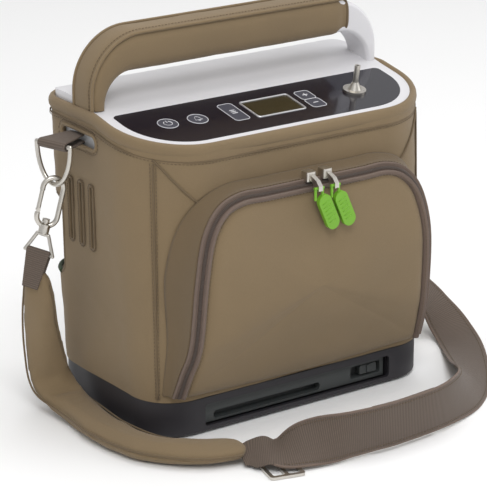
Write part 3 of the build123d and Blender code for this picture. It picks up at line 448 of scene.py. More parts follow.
def webbing_material(name, colour, pitch=1.7, deep=0.5):
    """Ribbed webbing: ribs across the strap, fine yarns along it, painted shade in the grooves and painted light on the
    rib crests.
    """
    m = Nodes(name, colour, 0.75)
    parts = m.add("ShaderNodeSeparateXYZ")
    m.link(m.where("UV"), parts.inputs[0])
    rib = m.math("SINE", m.math("MULTIPLY", parts.outputs[0], 2 * pi / (pitch * MM)))
    yarn = m.math("SINE", m.math("MULTIPLY", parts.outputs[1], 2 * pi / (0.9 * MM)))
    rib = m.math("ADD", m.math("MULTIPLY", rib, 0.5), 0.5)
    height = m.math("ADD", rib, m.math("MULTIPLY", yarn, 0.18))
    cloud = m.noise(30.0, 4.0)
    # painted shade and light: the colour follows the rib height, darkest in the grooves and lightest on the crests
    dark, light = m.tint(0.55, 1.12)
    groove_shaded_ribs = m.mix(rib, dark, light)
    shade = m.mix(cloud, tuple(c * 0.7 for c in m.colour), tuple(c * 1.1 for c in m.colour))
    blend = m.add("ShaderNodeMix", data_type="RGBA")
    blend.inputs[0].default_value = 0.35
    m.link(groove_shaded_ribs, blend.inputs[6])
    m.link(shade, blend.inputs[7])
    m.paint(blend.outputs[2])
    m.bump(height, deep, 0.4)
    m.shader.inputs["Sheen Weight"].default_value = 0.1
    return m.material


def plastic_material(name, colour, rough, grain=0.04, scale=1400.0, coat=0.0):
    """Moulded plastic with fine grain, faint mottling and uneven gloss."""
    m = Nodes(name, colour, rough)
    cloud = m.noise(22.0, 4.0)
    dark, light = m.tint(0.93, 1.05)
    m.paint(m.mix(cloud, dark, light))
    m.rough(cloud, max(0.05, rough - 0.06), rough + 0.08)
    m.bump(m.noise(scale, 2.0), grain, 0.1)
    m.shader.inputs["Coat Weight"].default_value = coat
    m.shader.inputs["Coat Roughness"].default_value = 0.08
    return m.material


def metal_material(name, colour, rough):
    """Satin plated metal: fine scratches, slight tarnish."""
    m = Nodes(name, colour, rough, 1.0)
    cloud = m.noise(60.0, 5.0)
    dark, light = m.tint(0.75, 1.08)
    m.paint(m.mix(cloud, dark, light))
    m.rough(m.noise(380.0, 4.0), rough - 0.1, rough + 0.14)
    m.bump(m.noise(700.0, 3.0), 0.08, 0.06)
    return m.material


KHAKI = linear(124, 106, 80)
MAUVE = linear(96, 83, 73)
khaki = knit_material("case_knit", KHAKI)
# painted shade: a darker copy of the case knit, for seams, opening rims, the sleeve cuff and the drawn-in gusset
khaki_painted_shade = knit_material("case_knit_painted_shade", linear(104, 88, 66))
mauve = webbing_material("ribbed_webbing", MAUVE)
tape_cloth = knit_material("woven_tape", linear(108, 92, 82), 0.7, 0.85)
thread = knit_material("sewing_thread", linear(96, 80, 60), 0.4, 0.8)
nickel = metal_material("satin_nickel", (0.63, 0.60, 0.55), 0.3)
coil_metal = plastic_material("zip_coil_nylon", linear(84, 74, 68), 0.5, 0.1)
lime = plastic_material("lime_rubber", linear(112, 168, 44), 0.45, 0.15, 900.0)
white = plastic_material("white_moulding", linear(214, 213, 216), 0.35, 0.03)
gloss_black = plastic_material("black_overlay", linear(24, 22, 34), 0.14, 0.01, 1400.0, 0.25)
charcoal = plastic_material("charcoal_moulding", linear(44, 42, 46), 0.5, 0.12, 1100.0)
key_grey = plastic_material("key_satin", linear(62, 62, 72), 0.38, 0.05)
icon_white = plastic_material("printed_mark", linear(205, 205, 208), 0.5)
dark_gap = plastic_material("dark_lining", linear(26, 23, 21), 0.9, 0.2, 600.0)
green_edge = knit_material("green_edging", linear(52, 66, 44), 0.8)
display = plastic_material("display_glass", linear(52, 46, 28), 0.18, 0.0, 1400.0, 0.2)
silver = metal_material("silver_border", (0.72, 0.72, 0.74), 0.35)

SLOT_MATERIALS = {
    "nickel": nickel,
    "green_rubber": lime,
    "white_plastic": white,
    "panel_black": gloss_black,
    "lcd": display,
    "key_grey": key_grey,
    "base_black": charcoal,
    "case_fabric": khaki,
    "pocket_fabric": khaki,
    "webbing": mauve,
    "zip_tape": tape_cloth,
}
for entry in frame["record"]["materials"]:
    if entry["slot"] in SLOT_MATERIALS:
        continue
    base = tuple(entry["base_color"][:3])
    if entry["class"] in ("brushed_steel", "aluminium", "chrome"):
        SLOT_MATERIALS[entry["slot"]] = metal_material(entry["slot"], base, 0.38)
    else:
        SLOT_MATERIALS[entry["slot"]] = plastic_material(entry["slot"], base, 0.5, 0.1)

for entry in frame["record"]["subparts"]:
    node = nodes[entry["node"]]
    node.data.materials.clear()
    node.data.materials.append(SLOT_MATERIALS[entry["material_slot"]])


def dress(obj, material, body=UNIT):
    """Material and body of a new piece."""
    obj.data.materials.clear()
    obj.data.materials.append(material)
    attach(obj, body)
    return obj


# ------------------------------------------------------------ the case's surface
def case_level(z):
    """Half width, half depth, front and rear corner radius of the case at a height."""
    t = (z - CASE_FOOT) / (RIM_BACK - CASE_FOOT)
    return (
        (FOOT_WIDTH + t * (RIM_WIDTH - FOOT_WIDTH)) / 2,
        (FOOT_DEPTH + t * (RIM_DEPTH - FOOT_DEPTH)) / 2,
        FOOT_RADIUS + t * (RIM_RADIUS - FOOT_RADIUS),
        FOOT_RADIUS + t * (REAR_RADIUS - FOOT_RADIUS),
    )


def front_y(x, z, proud=0.0):
    """The case's front surface."""
    half, deep, radius, _ = case_level(z)
    past = max(0.0, abs(x) - (half - radius))
    past = min(past, radius - 0.01)
    return -(deep - radius) - sqrt(radius ** 2 - past ** 2) - proud


def side_x(y, z, proud=0.0):
    """The case's side surface, as a distance from the middle."""
    half, deep, front, rear = case_level(z)
    radius = front if y < 0 else rear
    past = min(max(0.0, abs(y) - (deep - radius)), radius - 0.01)
    return (half - radius) + sqrt(radius ** 2 - past ** 2) + proud


def corner_point(hand, angle, z, proud=0.0):
    """A point on a front corner; angle 45 is its middle."""
    half, deep, radius, _ = case_level(z)
    a = radians(angle)
    out = radius + proud
    return Vector((hand * (half - radius + out * sin(a)), -(deep - radius) - out * cos(a), z))


def rim_z(y):
    return min(RIM_FRONT + (y + RIM_DEPTH / 2) * tan(TILT), RIM_BACK)


def section_loop(half, deep, front, rear, proud=0.0, side_steps=56, corner_steps=16, end_steps=30):
    """Rounded rectangle as X, Y points, going round from the front right."""
    half, deep = half + proud, deep + proud
    corners = ((1, -1, front + proud), (1, 1, rear + proud), (-1, 1, rear + proud), (-1, -1, front + proud))
    out = []
    for n, (sx, sy, radius) in enumerate(corners):
        start = radians(-90 + 90 * n)
        for k in range(corner_steps):
            a = start + pi / 2 * k / corner_steps
            out.append((sx * (half - radius) + radius * cos(a), sy * (deep - radius) + radius * sin(a)))
        last = start + pi / 2
        here = (sx * (half - radius) + radius * cos(last), sy * (deep - radius) + radius * sin(last))
        tx, ty, after = corners[(n + 1) % 4]
        there = (tx * (half - after) + after * cos(last), ty * (deep - after) + after * sin(last))
        steps = side_steps if n in (1, 3) else end_steps
        for k in range(steps):
            t = k / steps
            out.append((here[0] + t * (there[0] - here[0]), here[1] + t * (there[1] - here[1])))
    return out


def soft_case():
    """The neoprene body: both walls, soft hollows and folds; its openings are cut afterwards."""
    rows = []
    levels = 64
    for wall in (0, 1):
        steps = range(levels + 1) if wall == 0 else range(levels, -1, -1)
        for i in steps:
            t = i / levels
            z_mean = CASE_FOOT + t * (RIM_BACK - CASE_FOOT)
            row = []
            for x, y in section_loop(*case_level(z_mean), -FABRIC * wall):
                z = CASE_FOOT + t * (rim_z(y) - CASE_FOOT)
                out = Vector((x, y, 0)).normalized()
                ripple = noise.noise(Vector((x, y, z)) * 0.021) * 0.9
                ripple += noise.noise(Vector((x, y, z * 1.6)) * 0.06) * 0.35
                ripple -= 0.9 * exp(-((z - CASE_FOOT) / 7) ** 2)
                row.append(Vector((x, y, z)) + out * (ripple if wall == 0 else 0.0))
            rows.append(row)
    return rows_object("soft_case", rows, loop=True)


eyelet_outline = slot_outline(21, 240, 54, 13, 6.4)
cut_outline = slot_outline(72, 147, 42, 70, 10)
exhaust_outline = slot_outline(25, 100, 90, 90, 12)
VENT_Y = (3.5, 20.0, 36.5)


def vent_outline(y):
    return slot_outline(y, 175, 3, 52, 1.4, 4)


def along_x(a, b, t):
    return Vector((t, a, b))


def along_y(a, b, t):
    return Vector((a, t, b))


cutters = [
    prism(eyelet_outline, along_x, -160, 160),
    prism(cut_outline, along_x, -157, -100),
    prism(exhaust_outline, along_y, 70, 95),
    prism(slot_outline(-75, 70, 24, 24, 11.9), along_y, 70, 95),
]
for y in VENT_Y:
    cutters.append(prism(vent_outline(y), along_x, -160, 160))
cutter = join("openings", cutters)
case = soft_case()
cut = case.modifiers.new("openings", "BOOLEAN")
cut.object = cutter
cut.operation = "DIFFERENCE"
cut.solver = "EXACT"
apply_modifiers(case)
bpy.data.objects.remove(cutter)
case.data.set_sharp_from_angle(angle=radians(50))
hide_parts("case_shell")
dress(case, khaki)


# ------------------------------------------------------------ hems, seams and edgings of the case
def rim_loop(proud, drop):
    """The rim's line, moved out and down."""
    return [Vector((x, y, rim_z(y) - drop)) for x, y in section_loop(*case_level(RIM_BACK), proud)]


def rim_hem():
    """Turned and stitched hem round the mouth of the case."""
    rows = []
    centre = rim_loop(-FABRIC / 2, 0)
    for p, _, _, _ in path_frames(centre, loop=True):
        out = Vector((p.x, p.y, 0)).normalized()
        row = []
        for k in range(14):
            a = 2 * pi * k / 14
            wide = 3.7 * cos(a)
            tall = 5.6 * sin(a) - 3.2
            row.append(p + out * wide + Vector((0, 0, tall)))
        rows.append(row)
    return rows_object("rim_hem", rows, loop=True)


dress(rim_hem(), khaki)
# painted shade: the rim seam takes the darker copy of the case knit
dress(tube("rim_seam", rim_loop(0.3, 11.5), 0.7, 8, loop=True), khaki_painted_shade)
dress(stitches("rim_stitches", rim_loop(0.75, 13.2), loop=True), thread)


def corner_seam(hand, side):
    """Upright seam in the middle of a front corner, with stitching beside it."""
    heights = [CASE_FOOT + 3 + k * 5 for k in range(41)]
    line = [corner_point(hand, 47, z, 0.35) for z in heights]
    # painted shade: the corner seam takes the darker copy of the case knit
    dress(tube(f"corner_seam_{side}", line, 0.9, 8), khaki_painted_shade)
    for n, turn in enumerate((44.6, 49.4)):
        beside = [corner_point(hand, turn, z, 0.75) for z in heights]
        dress(stitches(f"corner_stitches_{side}_{n}", beside), thread)


for hand, side in ((-1, "left"), (1, "right")):
    corner_seam(hand, side)

for side, hand in (("left", -1), ("right", 1)):
    lip = [Vector((hand * side_x(y, z, -0.6), y, z)) for y, z in slot_outline(21, 240, 54.5, 13.5, 6.6)]
    dress(tube(f"eyelet_lip_{side}", lip, 1.9, 10, loop=True), khaki)
    around = [Vector((hand * side_x(y, z, 0.7), y, z)) for y, z in slot_outline(21, 240, 61, 20, 9.6)]
    dress(stitches(f"eyelet_stitches_{side}", around, loop=True), thread)
    for n, vent_y in enumerate(VENT_Y):
        edge = [Vector((hand * side_x(y, z, 0.2), y, z)) for y, z in slot_outline(vent_y, 175, 5.4, 55, 2.6, 5)]
        # painted shade: the vent rims take the darker copy of the case knit
        dress(tube(f"vent_lip_{side}_{n}", edge, 1.2, 8, loop=True), khaki_painted_shade)
        ring = [Vector((hand * side_x(y, z, 0.9), y, z)) for y, z in slot_outline(vent_y, 175, 9, 58, 4.2, 5)]
        dress(stitches(f"vent_stitches_{side}_{n}", ring, 2.2, 1.6, 0.35, True), thread)

edge = [Vector((-side_x(y, z, -1.5), y, z)) for y, z in cut_outline]
# painted shade: the window's rim takes the darker copy of the case knit
dress(tube("window_edge", edge, 2.3, 10, loop=True), khaki_painted_shade)
low_edge = [Vector((-side_x(y, 112.5, 0.2), y, 112.8)) for y in range(58, 85, 2)]
dress(tube("window_edging", low_edge, 2.0, 8), green_edge)
back_edge = [Vector((x, case_level(z)[1] - 1.5, z)) for x, z in exhaust_outline]
# painted shade: the exhaust opening's rim takes the darker copy of the case knit
dress(tube("exhaust_edge", back_edge, 2.3, 10, loop=True), khaki_painted_shade)


# ------------------------------------------------------------ front pocket and zip
def zip_curve():
    """The zip in space: up the left of the pocket, over its crown and down the right."""
    side = [
        (ZIP_HALF_LOW + 1, -ZIP_SINK, POCKET_LOW + 1),
        (ZIP_HALF_LOW - 1, -ZIP_SINK - 8, 60),
        (ZIP_HALF_LOW - 5, -ZIP_SINK - 17, 88),
        (ZIP_HALF_MID - 1, -ZIP_WAIST, 142),
        (ZIP_HALF_MID - 9, -ZIP_PLANE - 3.5, 178),
        (ZIP_HALF_MID - 23, -ZIP_PLANE - 1, 197.5),
        (ZIP_HALF_MID - SHOULDER, -ZIP_PLANE, ZIP_TOP),
    ]
    crown = [(x, -ZIP_PLANE, ZIP_TOP) for x in (50, 25, 0, -25, -50)]
    right_to_left = side + crown + [(-x, y, z) for x, y, z in side[::-1]]
    return [Vector(p) for p in smooth_curve(right_to_left[::-1], 9)]


zip_line = zip_curve()


def zip_outward():
    """Direction away from the pocket's middle, square to the zip, at each of its points."""
    out = []
    for i in range(len(zip_line)):
        a, b = zip_line[max(0, i - 1)], zip_line[min(len(zip_line) - 1, i + 1)]
        t = Vector((b.x - a.x, b.z - a.z)).normalized()
        out.append(Vector((-t.y, t.x)))
    return out


zip_normals = zip_outward()


def zip_point(i, across, proud):
    """A point of the zip's band: across runs from the panel to the gusset, proud stands off it."""
    n = zip_normals[i]
    face = Vector((n.x, -1.35, n.y)).normalized()
    wide = Vector((n.x * 1.35, 1, n.y * 1.35)).normalized()
    return zip_line[i] + wide * across + face * proud


def zip_band():
    """Two cloth tapes either side of the coil, each with a rolled ridge."""
    profile = []
    for k in range(33):
        a = -5.4 + 10.8 * k / 32
        ridge = 1.7 * exp(-((abs(a) - 3.9) / 0.95) ** 2)
        valley = -0.5 * exp(-((abs(a) - 2.0) / 0.5) ** 2)
        profile.append((a, 1.9 + ridge + valley))
    profile += [(5.8, -1.5), (0, -2.5), (-5.8, -1.5)]
    rows = [[zip_point(i, a, h) for a, h in profile] for i in range(len(zip_line))]
    return rows_object("zip_tapes", rows)


def zip_coil():
    """The coil's teeth: small rounded loops lying across the chain."""
    path = [zip_point(i, 0, 2.2) for i in range(len(zip_line))]
    wide = [zip_point(i, 1, 0) - zip_point(i, 0, 0) for i in range(len(zip_line))]
    verts, faces = [], []
    walk, target = 0.0, 0.6
    for i in range(len(path) - 1):
        span = (path[i + 1] - path[i]).length
        along = (path[i + 1] - path[i]).normalized()
        up = along.cross(wide[i]).normalized()
        if up.y > 0:
            up = -up
        while target < walk + span:
            centre = path[i] + along * (target - walk)
            base = len(verts)
            for t, drop, grow in ((-1.7, -0.5, 0.5), (-1.1, 0.1, 1), (0, 0.4, 1), (1.1, 0.1, 1), (1.7, -0.5, 0.5)):
                for k in range(6):
                    a = pi * k / 3
                    verts.append(centre + wide[i] * t + up * (drop + 0.5 * grow * sin(a)) + along * 0.5 * grow * cos(a))
            for r in range(4):
                for k in range(6):
                    m = (k + 1) % 6
                    faces.append((base + r * 6 + k, base + r * 6 + m, base + r * 6 + 6 + m, base + r * 6 + 6 + k))
            target += 1.35
        walk += span
    return make_object("zip_coil", verts, faces)


tapes = dress(zip_band(), tape_cloth)
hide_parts("zip_tape")
dress(zip_coil(), coil_metal)


def pocket_front():
    """The padded front panel: rises from the zip, crowned and faintly uneven."""
    foot_steps = 60
    last, first = zip_line[-1], zip_line[0]
    outline = [p.copy() for p in zip_line]
    for k in range(1, foot_steps):
        t = k / foot_steps
        sag = 2.0 * sin(pi * t)
        outline.append(Vector((last.x + (first.x - last.x) * t, last.y - 1.5 * sin(pi * t), POCKET_LOW - sag)))
    centre = Vector((0, -ZIP_WAIST - 1.5, 120))
    rows = []
    rings = 46
    for r in range(rings + 1):
        scale = 1 - 0.995 * (r / rings) ** 0.85
        row = []
        for i, p in enumerate(outline):
            edge = Vector((p.x - centre.x, p.z - centre.z)).length * (1 - scale)
            q = centre + (p - centre) * scale
            rise = 4.6 * (1 - exp(-edge / 6.0)) + 2.2 * sin(pi / 2 * min(1, edge / 90))
            uneven = noise.noise(Vector((q.x, q.z * 1.4, 3)) * 0.02) * 1.5
            uneven += noise.noise(Vector((q.x * 0.6, q.z, 9)) * 0.055) * 0.5
            fade = min(1, edge / 12)
            inset = (centre - p).normalized() * 3.0 * (1 - fade)
            row.append(Vector((q.x + inset.x, q.y - rise - uneven * fade, q.z + inset.z * (1 if i < len(zip_line) else 0))))
        rows.append(row)
    back = [Vector((p.x * 0.985, p.y + 7, max(p.z, POCKET_LOW))) for p in rows[0]]
    rows.insert(0, back)
    return rows_object("pocket_panel", rows)


def pocket_gusset():
    """Thin wall from the case to the zip, drawn in a little between its two seams."""
    rows = []
    steps = 12
    for i in range(len(zip_line)):
        p, n = zip_line[i], zip_normals[i]
        spread = 9 + 5 * min(1, max(0, (p.z - 60) / 80))
        start = Vector((p.x + n.x * spread, 0, max(p.z + n.y * 9, CASE_FOOT + 2)))
        start.y = front_y(start.x, start.z, 0.4)
        end = zip_point(i, 5.2, 0.6)
        row = []
        for k in range(steps + 1):
            t = k / steps
            q = start.lerp(end, t)
            pull = 1.8 * sin(pi * t)
            wrinkle = noise.noise(Vector((p.x, p.z, t * 40)) * 0.03) * 0.9 * sin(pi * t)
            q -= Vector((n.x, 0, n.y)) * (pull + wrinkle)
            row.append(q)
        rows.append(row)
    return rows_object("pocket_gusset", rows, closed=False)


panel = dress(pocket_front(), khaki)
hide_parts("front_pocket")
gusset = pocket_gusset()
thick = gusset.modifiers.new("thickness", "SOLIDIFY")
thick.thickness = 2.2 * MM
thick.offset = 0
apply_modifiers(gusset)
# painted shade: the drawn-in gusset takes the darker copy of the case knit
dress(gusset, khaki_painted_shade)
panel_stitch = [zip_point(i, -6.6, 2.0) for i in range(2, len(zip_line) - 2)]
dress(stitches("panel_stitches", panel_stitch), thread)
gusset_stitch = [zip_point(i, 6.2, 1.4) for i in range(2, len(zip_line) - 2)]
dress(stitches("gusset_stitches", gusset_stitch), thread)


def diagonal_seam(hand, side):
    """Seam from the top of the corner seam down to the shoulder of the pocket."""
    points = []
    for k in range(25):
        t = k / 24
        x = 134 - 42 * t
        z = 240 - 45 * t - 5 * sin(pi * t)
        points.append(Vector((hand * x, front_y(x, z, 0.4), z)))
    # painted shade: the diagonal seam takes the darker copy of the case knit
    dress(tube(f"diagonal_seam_{side}", points, 0.9, 8), khaki_painted_shade)


diagonal_seam(-1, "left")
diagonal_seam(1, "right")

# ------------------------------------------------------------ zip sliders and pulls
for side in ("left", "right"):
    for name in (f"zip_slider_{side}", f"zip_pull_{side}"):
        soft = nodes[name].modifiers.new("edges", "BEVEL")
        soft.width = 0.5 * MM
        soft.segments = 2
        soft.limit_method = "ANGLE"
        soft.angle_limit = radians(40)
    low, high = box_mm(f"zip_pull_{side}")
    pull_body = f"zip_pull_{side}"
    lean = radians(24)
    pivot = Vector(((low.x + high.x) / 2, (low.y + high.y) / 2, high.z))
    down = Vector((sin(lean), 0, -cos(lean)))
    wide = Vector((cos(lean), 0, sin(lean)))
    slider_low, slider_high = box_mm(f"zip_slider_{side}")
    start = Vector(((slider_low.x + slider_high.x) / 2, low.y, ZIP_TOP + 1))
    for k in range(6):
        centre = start + down * (14 + 3.6 * k)
        rib = tube(
            f"pull_rib_{side}_{k}",
            [centre - wide * 3.6 + Vector((0, 0.1, 0)), centre + wide * 3.6 + Vector((0, 0.1, 0))],
            0.55, 8,
        )
        dress(rib, lime, pull_body)


# ------------------------------------------------------------ padded handle
def handle_curves():
    """Outer and inner line of the sleeve in X, Z, from the left leg over to the bare end."""
    half = -sleeve_low.x
    top = sleeve_high.z
    foot = sleeve_low.z
    outer_r, inner_r = 49.0, 27.0
    inner_half = half - 15.0
    under = top - 35.0
    end = sleeve_high.x
    outer, inner = [], []
    for k in range(8):
        t = k / 8
        outer.append(Vector((-half, foot + t * (top - outer_r - foot))))
        inner.append(Vector((-inner_half, foot + t * (under - inner_r - foot))))
    for k in range(25):
        a = pi - pi / 2 * k / 24
        outer.append(Vector((-half + outer_r + outer_r * cos(a), top - outer_r + outer_r * sin(a))))
        inner.append(Vector((-inner_half + inner_r + inner_r * cos(a), under - inner_r + inner_r * sin(a))))
    for k in range(1, 71):
        t = k / 70
        outer.append(Vector((outer_r - half + t * (end - outer_r + half), top)))
        inner.append(Vector((inner_r - inner_half + t * (end - inner_r + inner_half), under)))
    return outer, inner


sleeve_outer, sleeve_inner = handle_curves()
SLEEVE_FRONT, SLEEVE_BACK = sleeve_low.y, sleeve_high.y


def sleeve_section(i, count=36):
    """One section of the padded sleeve: soft-cornered, slightly full."""
    a, b = sleeve_outer[i], sleeve_inner[i]
    middle = (a + b) / 2
    reach = (a - b) / 2
    mid_y, half_y = (SLEEVE_FRONT + SLEEVE_BACK) / 2, (SLEEVE_BACK - SLEEVE_FRONT) / 2
    from_end = len(sleeve_outer) - 1 - i
    squeeze = 1 - 0.10 * exp(-((from_end - 2) / 1.6) ** 2)
    if from_end == 0:
        squeeze = 0.86
    row = []
    for k in range(count):
        t = 2 * pi * k / count
        c, s = cos(t), sin(t)
        u = (abs(c) ** 0.62) * (1 if c > 0 else -1)
        v = (abs(s) ** 0.62) * (1 if s > 0 else -1)
        p = middle + reach * u * squeeze
        row.append(Vector((p.x, mid_y + half_y * v * squeeze, p.y)))
    return row


sleeve = rows_object("handle_pad", [sleeve_section(i) for i in range(len(sleeve_outer))])
subdivide(sleeve)
for vertex in sleeve.data.vertices:
    p = vertex.co / MM
    shift = noise.noise(p * 0.035) * 0.5 + noise.noise(p * 0.11) * 0.2
    vertex.co += Vector((shift, shift, shift)) * MM * 0.6
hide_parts("handle_sleeve")
dress(sleeve, khaki)


def sleeve_line(reach, y):
    """A line along the sleeve's outer side at one depth."""
    out = []
    for a, b in zip(sleeve_outer, sleeve_inner):
        p = (a + b) / 2 + (a - b) / 2 * reach
        out.append(Vector((p.x, y, p.y)))
    return out


dress(tube("sleeve_piping_front", sleeve_line(0.9, SLEEVE_FRONT + 1.8), 1.5, 10), khaki)
dress(tube("sleeve_piping_back", sleeve_line(0.985, SLEEVE_BACK - 8), 1.3, 10), khaki)
dress(stitches("sleeve_stitches", sleeve_line(1.0, SLEEVE_FRONT + 5.5)), thread)
end_ring = [p + Vector((-3, 0, 0)) for p in sleeve_section(len(sleeve_outer) - 1)]
# painted shade: the sleeve cuff takes the darker copy of the case knit
dress(tube("sleeve_cuff", end_ring, 1.7, 10, loop=True), khaki_painted_shade)


# ------------------------------------------------------------ hard parts: softened edges
for name, width in (
    ("top_cover", 1.0), ("base_tray", 0.8), ("control_panel", 0.25), ("mode_button", 0.4),
    ("plus_button", 0.4), ("minus_button", 0.4), ("battery_pack", 0.8), ("battery_latch", 0.3),
    ("oxygen_outlet", 0.3), ("slide_buckle", 0.5), ("main_housing", 0.5), ("intake_grille", 0.3),
    ("exhaust_grille", 0.3), ("rubber_feet", 0.4),
):
    bevel = nodes[name].modifiers.new("edges", "BEVEL")
    bevel.width = width * MM
    bevel.segments = 3
    bevel.limit_method = "ANGLE"
    bevel.angle_limit = radians(40)


# ------------------------------------------------------------ control deck details
def on_deck(x, y, proud=0.0):
    """A point of the deck given in plan."""
    return Vector((x, y, PANEL_Z + (y - PANEL_EDGE) * tan(TILT))) + DECK_NORMAL * proud


def deck_shape(name, centre, lines, radius, proud, loops):
    """Raised lines on the deck: each is a list of (across, up) points about a centre."""
    made = []
    for n, line in enumerate(lines):
        points = [centre + Vector((a, 0, 0)) + DECK_UP * b + DECK_NORMAL * proud for a, b in line]
        made.append(tube(f"{name}_{n}", points, radius, 8, loop=loops[n], flat=0.5,
                         across=None))
    return join(name, made)


def arc(radius, start, end, steps=24, centre=(0, 0)):
    return [
        (centre[0] + radius * cos(radians(start + (end - start) * k / steps)),
         centre[1] + radius * sin(radians(start + (end - start) * k / steps)))
        for k in range(steps + 1)
    ]


def node_centre(name):
    low, high = box_mm(name)
    return (low + high) / 2


def key_top(name):
    """Middle of a key's top face."""
    middle = node_centre(name)
    low, high = box_mm(name)
    plan_y = middle.y
    here = on_deck(middle.x, plan_y)
    tilt_shift = DECK_NORMAL * 2.25
    return Vector((middle.x, plan_y, middle.z)) + DECK_NORMAL * 2.75 if here else tilt_shift


MARK = 0.35
power = key_top("power_button")
dress(deck_shape("power_mark", power, [arc(3.6, 120, 420, 30), [(0, 1.2), (0, 4.6)]], MARK * 1.3, 0.05,
                 [False, False]), icon_white, "power_button")
alarm = key_top("alarm_button")
bell = [(-3.6, -2.2), (-2.6, -1.0), (-2.4, 1.4), (-1.2, 3.2), (0, 3.7), (1.2, 3.2), (2.4, 1.4), (2.6, -1.0), (3.6, -2.2)]
dress(deck_shape("alarm_mark", alarm, [bell, arc(1.1, 200, 340, 8, (0, -2.6))], MARK, 0.05, [True, False]),
      icon_white, "alarm_button")
mode = key_top("mode_button")
bars = [[(-2.6, 2.6), (2.6, 2.6)], [(-2.6, 0), (2.6, 0)], [(-2.6, -2.6), (2.6, -2.6)]]
dress(deck_shape("mode_mark", mode, bars, MARK * 1.4, 0.05, [False] * 3), icon_white, "mode_button")
plus = key_top("plus_button")
dress(deck_shape("plus_mark", plus, [[(-2.6, 0), (2.6, 0)], [(0, -2.6), (0, 2.6)]], MARK * 1.4, 0.05,
                 [False, False]), icon_white, "plus_button")
minus = key_top("minus_button")
dress(deck_shape("minus_mark", minus, [[(-2.6, 0), (2.6, 0)]], MARK * 1.4, 0.05, [False]),
      icon_white, "minus_button")


def deck_ring(name, centre, wide, tall, corner, radius, proud=0.35):
    """A raised rounded frame on the deck."""
    outline = slot_outline(0, 0, wide, tall, corner)
    points = [centre + Vector((a, 0, 0)) + DECK_UP * b + DECK_NORMAL * proud for a, b in outline]
    across = [DECK_NORMAL] * len(points)
    return tube(name, points, radius, 8, loop=True, flat=1.0, across=across)


lcd = node_centre("lcd_display")
lcd_face = Vector((lcd.x, lcd.y, lcd.z)) + DECK_NORMAL * 2.5
dress(deck_ring("display_border", lcd_face, 48.0, 30.0, 2.4, 0.9, 0.2), silver)
for name, wide, tall in (("mode_button", 14.4, 31.4), ("plus_button", 14.4, 15.9), ("minus_button", 14.4, 15.9)):
    dress(deck_ring(f"{name}_border", key_top(name) - DECK_NORMAL * 0.5, wide, tall, 3.4, 0.35, 0.25),
          icon_white)
for name in ("power_button", "alarm_button"):
    dress(deck_ring(f"{name}_border", key_top(name) - DECK_NORMAL * 0.5, 17.2, 17.2, 8.55, 0.35, 0.25),
          icon_white)


# ------------------------------------------------------------ sling rig: where the strap hardware hangs
YAW = radians(18)
BAR = Vector((-175.0, 18.5, 239.0))
ALONG_BAR = Vector((-sin(YAW), cos(YAW), 0))
OUTWARD = Vector((-cos(YAW), -sin(YAW), 0))
HOOK_UP = Vector((0.25, -0.05, 0.966)).normalized()
HOOK_ACROSS = Vector((-0.95, 0.3, 0))
HOOK_ACROSS = (HOOK_ACROSS - HOOK_UP * HOOK_ACROSS.dot(HOOK_UP)).normalized()
HOOK_TOP = BAR - Vector((0, 0, 28.8)) - HOOK_ACROSS
EYE_BAR = HOOK_TOP - HOOK_UP * 63.95
EYE_ACROSS = Vector((-0.6, 0.8, 0))
EYE_ACROSS = (EYE_ACROSS - HOOK_UP * EYE_ACROSS.dot(HOOK_UP)).normalized()
TAB_FOOT = EYE_BAR - HOOK_UP * 16.4
LOOP_TURN = 3.05
TAB_TURN = 2.55


def flip(point, hand):
    """Mirrors a left-hand point to the right when hand is 1."""
    return Vector((-point.x if hand > 0 else point.x, point.y, point.z))


def folded_strip(name, centre, reach_dir, turn_dir, across, reach, turn, widths, hand, thick):
    """Webbing folded round a bar, both layers running back along reach_dir."""
    path = []
    for k in range(7):
        path.append((reach_dir * (reach * (1 - k / 6)) + turn_dir * turn, widths[1] + (widths[0] - widths[1]) * k / 6))
    for k in range(1, 12):
        a = pi * k / 12
        path.append((turn_dir * turn * cos(a) - reach_dir * turn * sin(a), widths[0]))
    for k in range(7):
        path.append((reach_dir * (reach * k / 6) - turn_dir * turn, widths[0] + (widths[1] - widths[0]) * k / 6))
    stations = [(flip(centre + p, hand), flip(across, hand), w) for p, w in path]
    obj, frames, fine = strip(name, stations, widths[0], thick, 3)
    return obj


for hand, side in ((-1, "left"), (1, "right")):
    loop = folded_strip(
        f"loop_{side}", BAR, -OUTWARD, Vector((0, 0, 1)), ALONG_BAR, 30.0, LOOP_TURN, (29.0, 17.0), hand, 1.8,
    )
    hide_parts(f"webbing_loop_{side}")
    dress(loop, mauve)
    side_way = EYE_ACROSS.cross(HOOK_UP)
    tab = folded_strip(
        f"tab_{side}", EYE_BAR, -HOOK_UP, side_way, EYE_ACROSS, 30.0, TAB_TURN, (20.5, 14.0), hand, 1.8,
    )
    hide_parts(f"strap_tab_{side}")
    dress(tab, mauve, f"sling_{side}")
    for n, drop in enumerate((7.0, 14.0)):
        row = [
            flip(EYE_BAR - HOOK_UP * drop + EYE_ACROSS * (t - 7.0) + side_way * (TAB_TURN + 1.0), hand)
            for t in range(0, 15)
        ]
        dress(stitches(f"tab_stitches_{side}_{n}", row, 2.4, 1.7, 0.35), thread, f"sling_{side}")


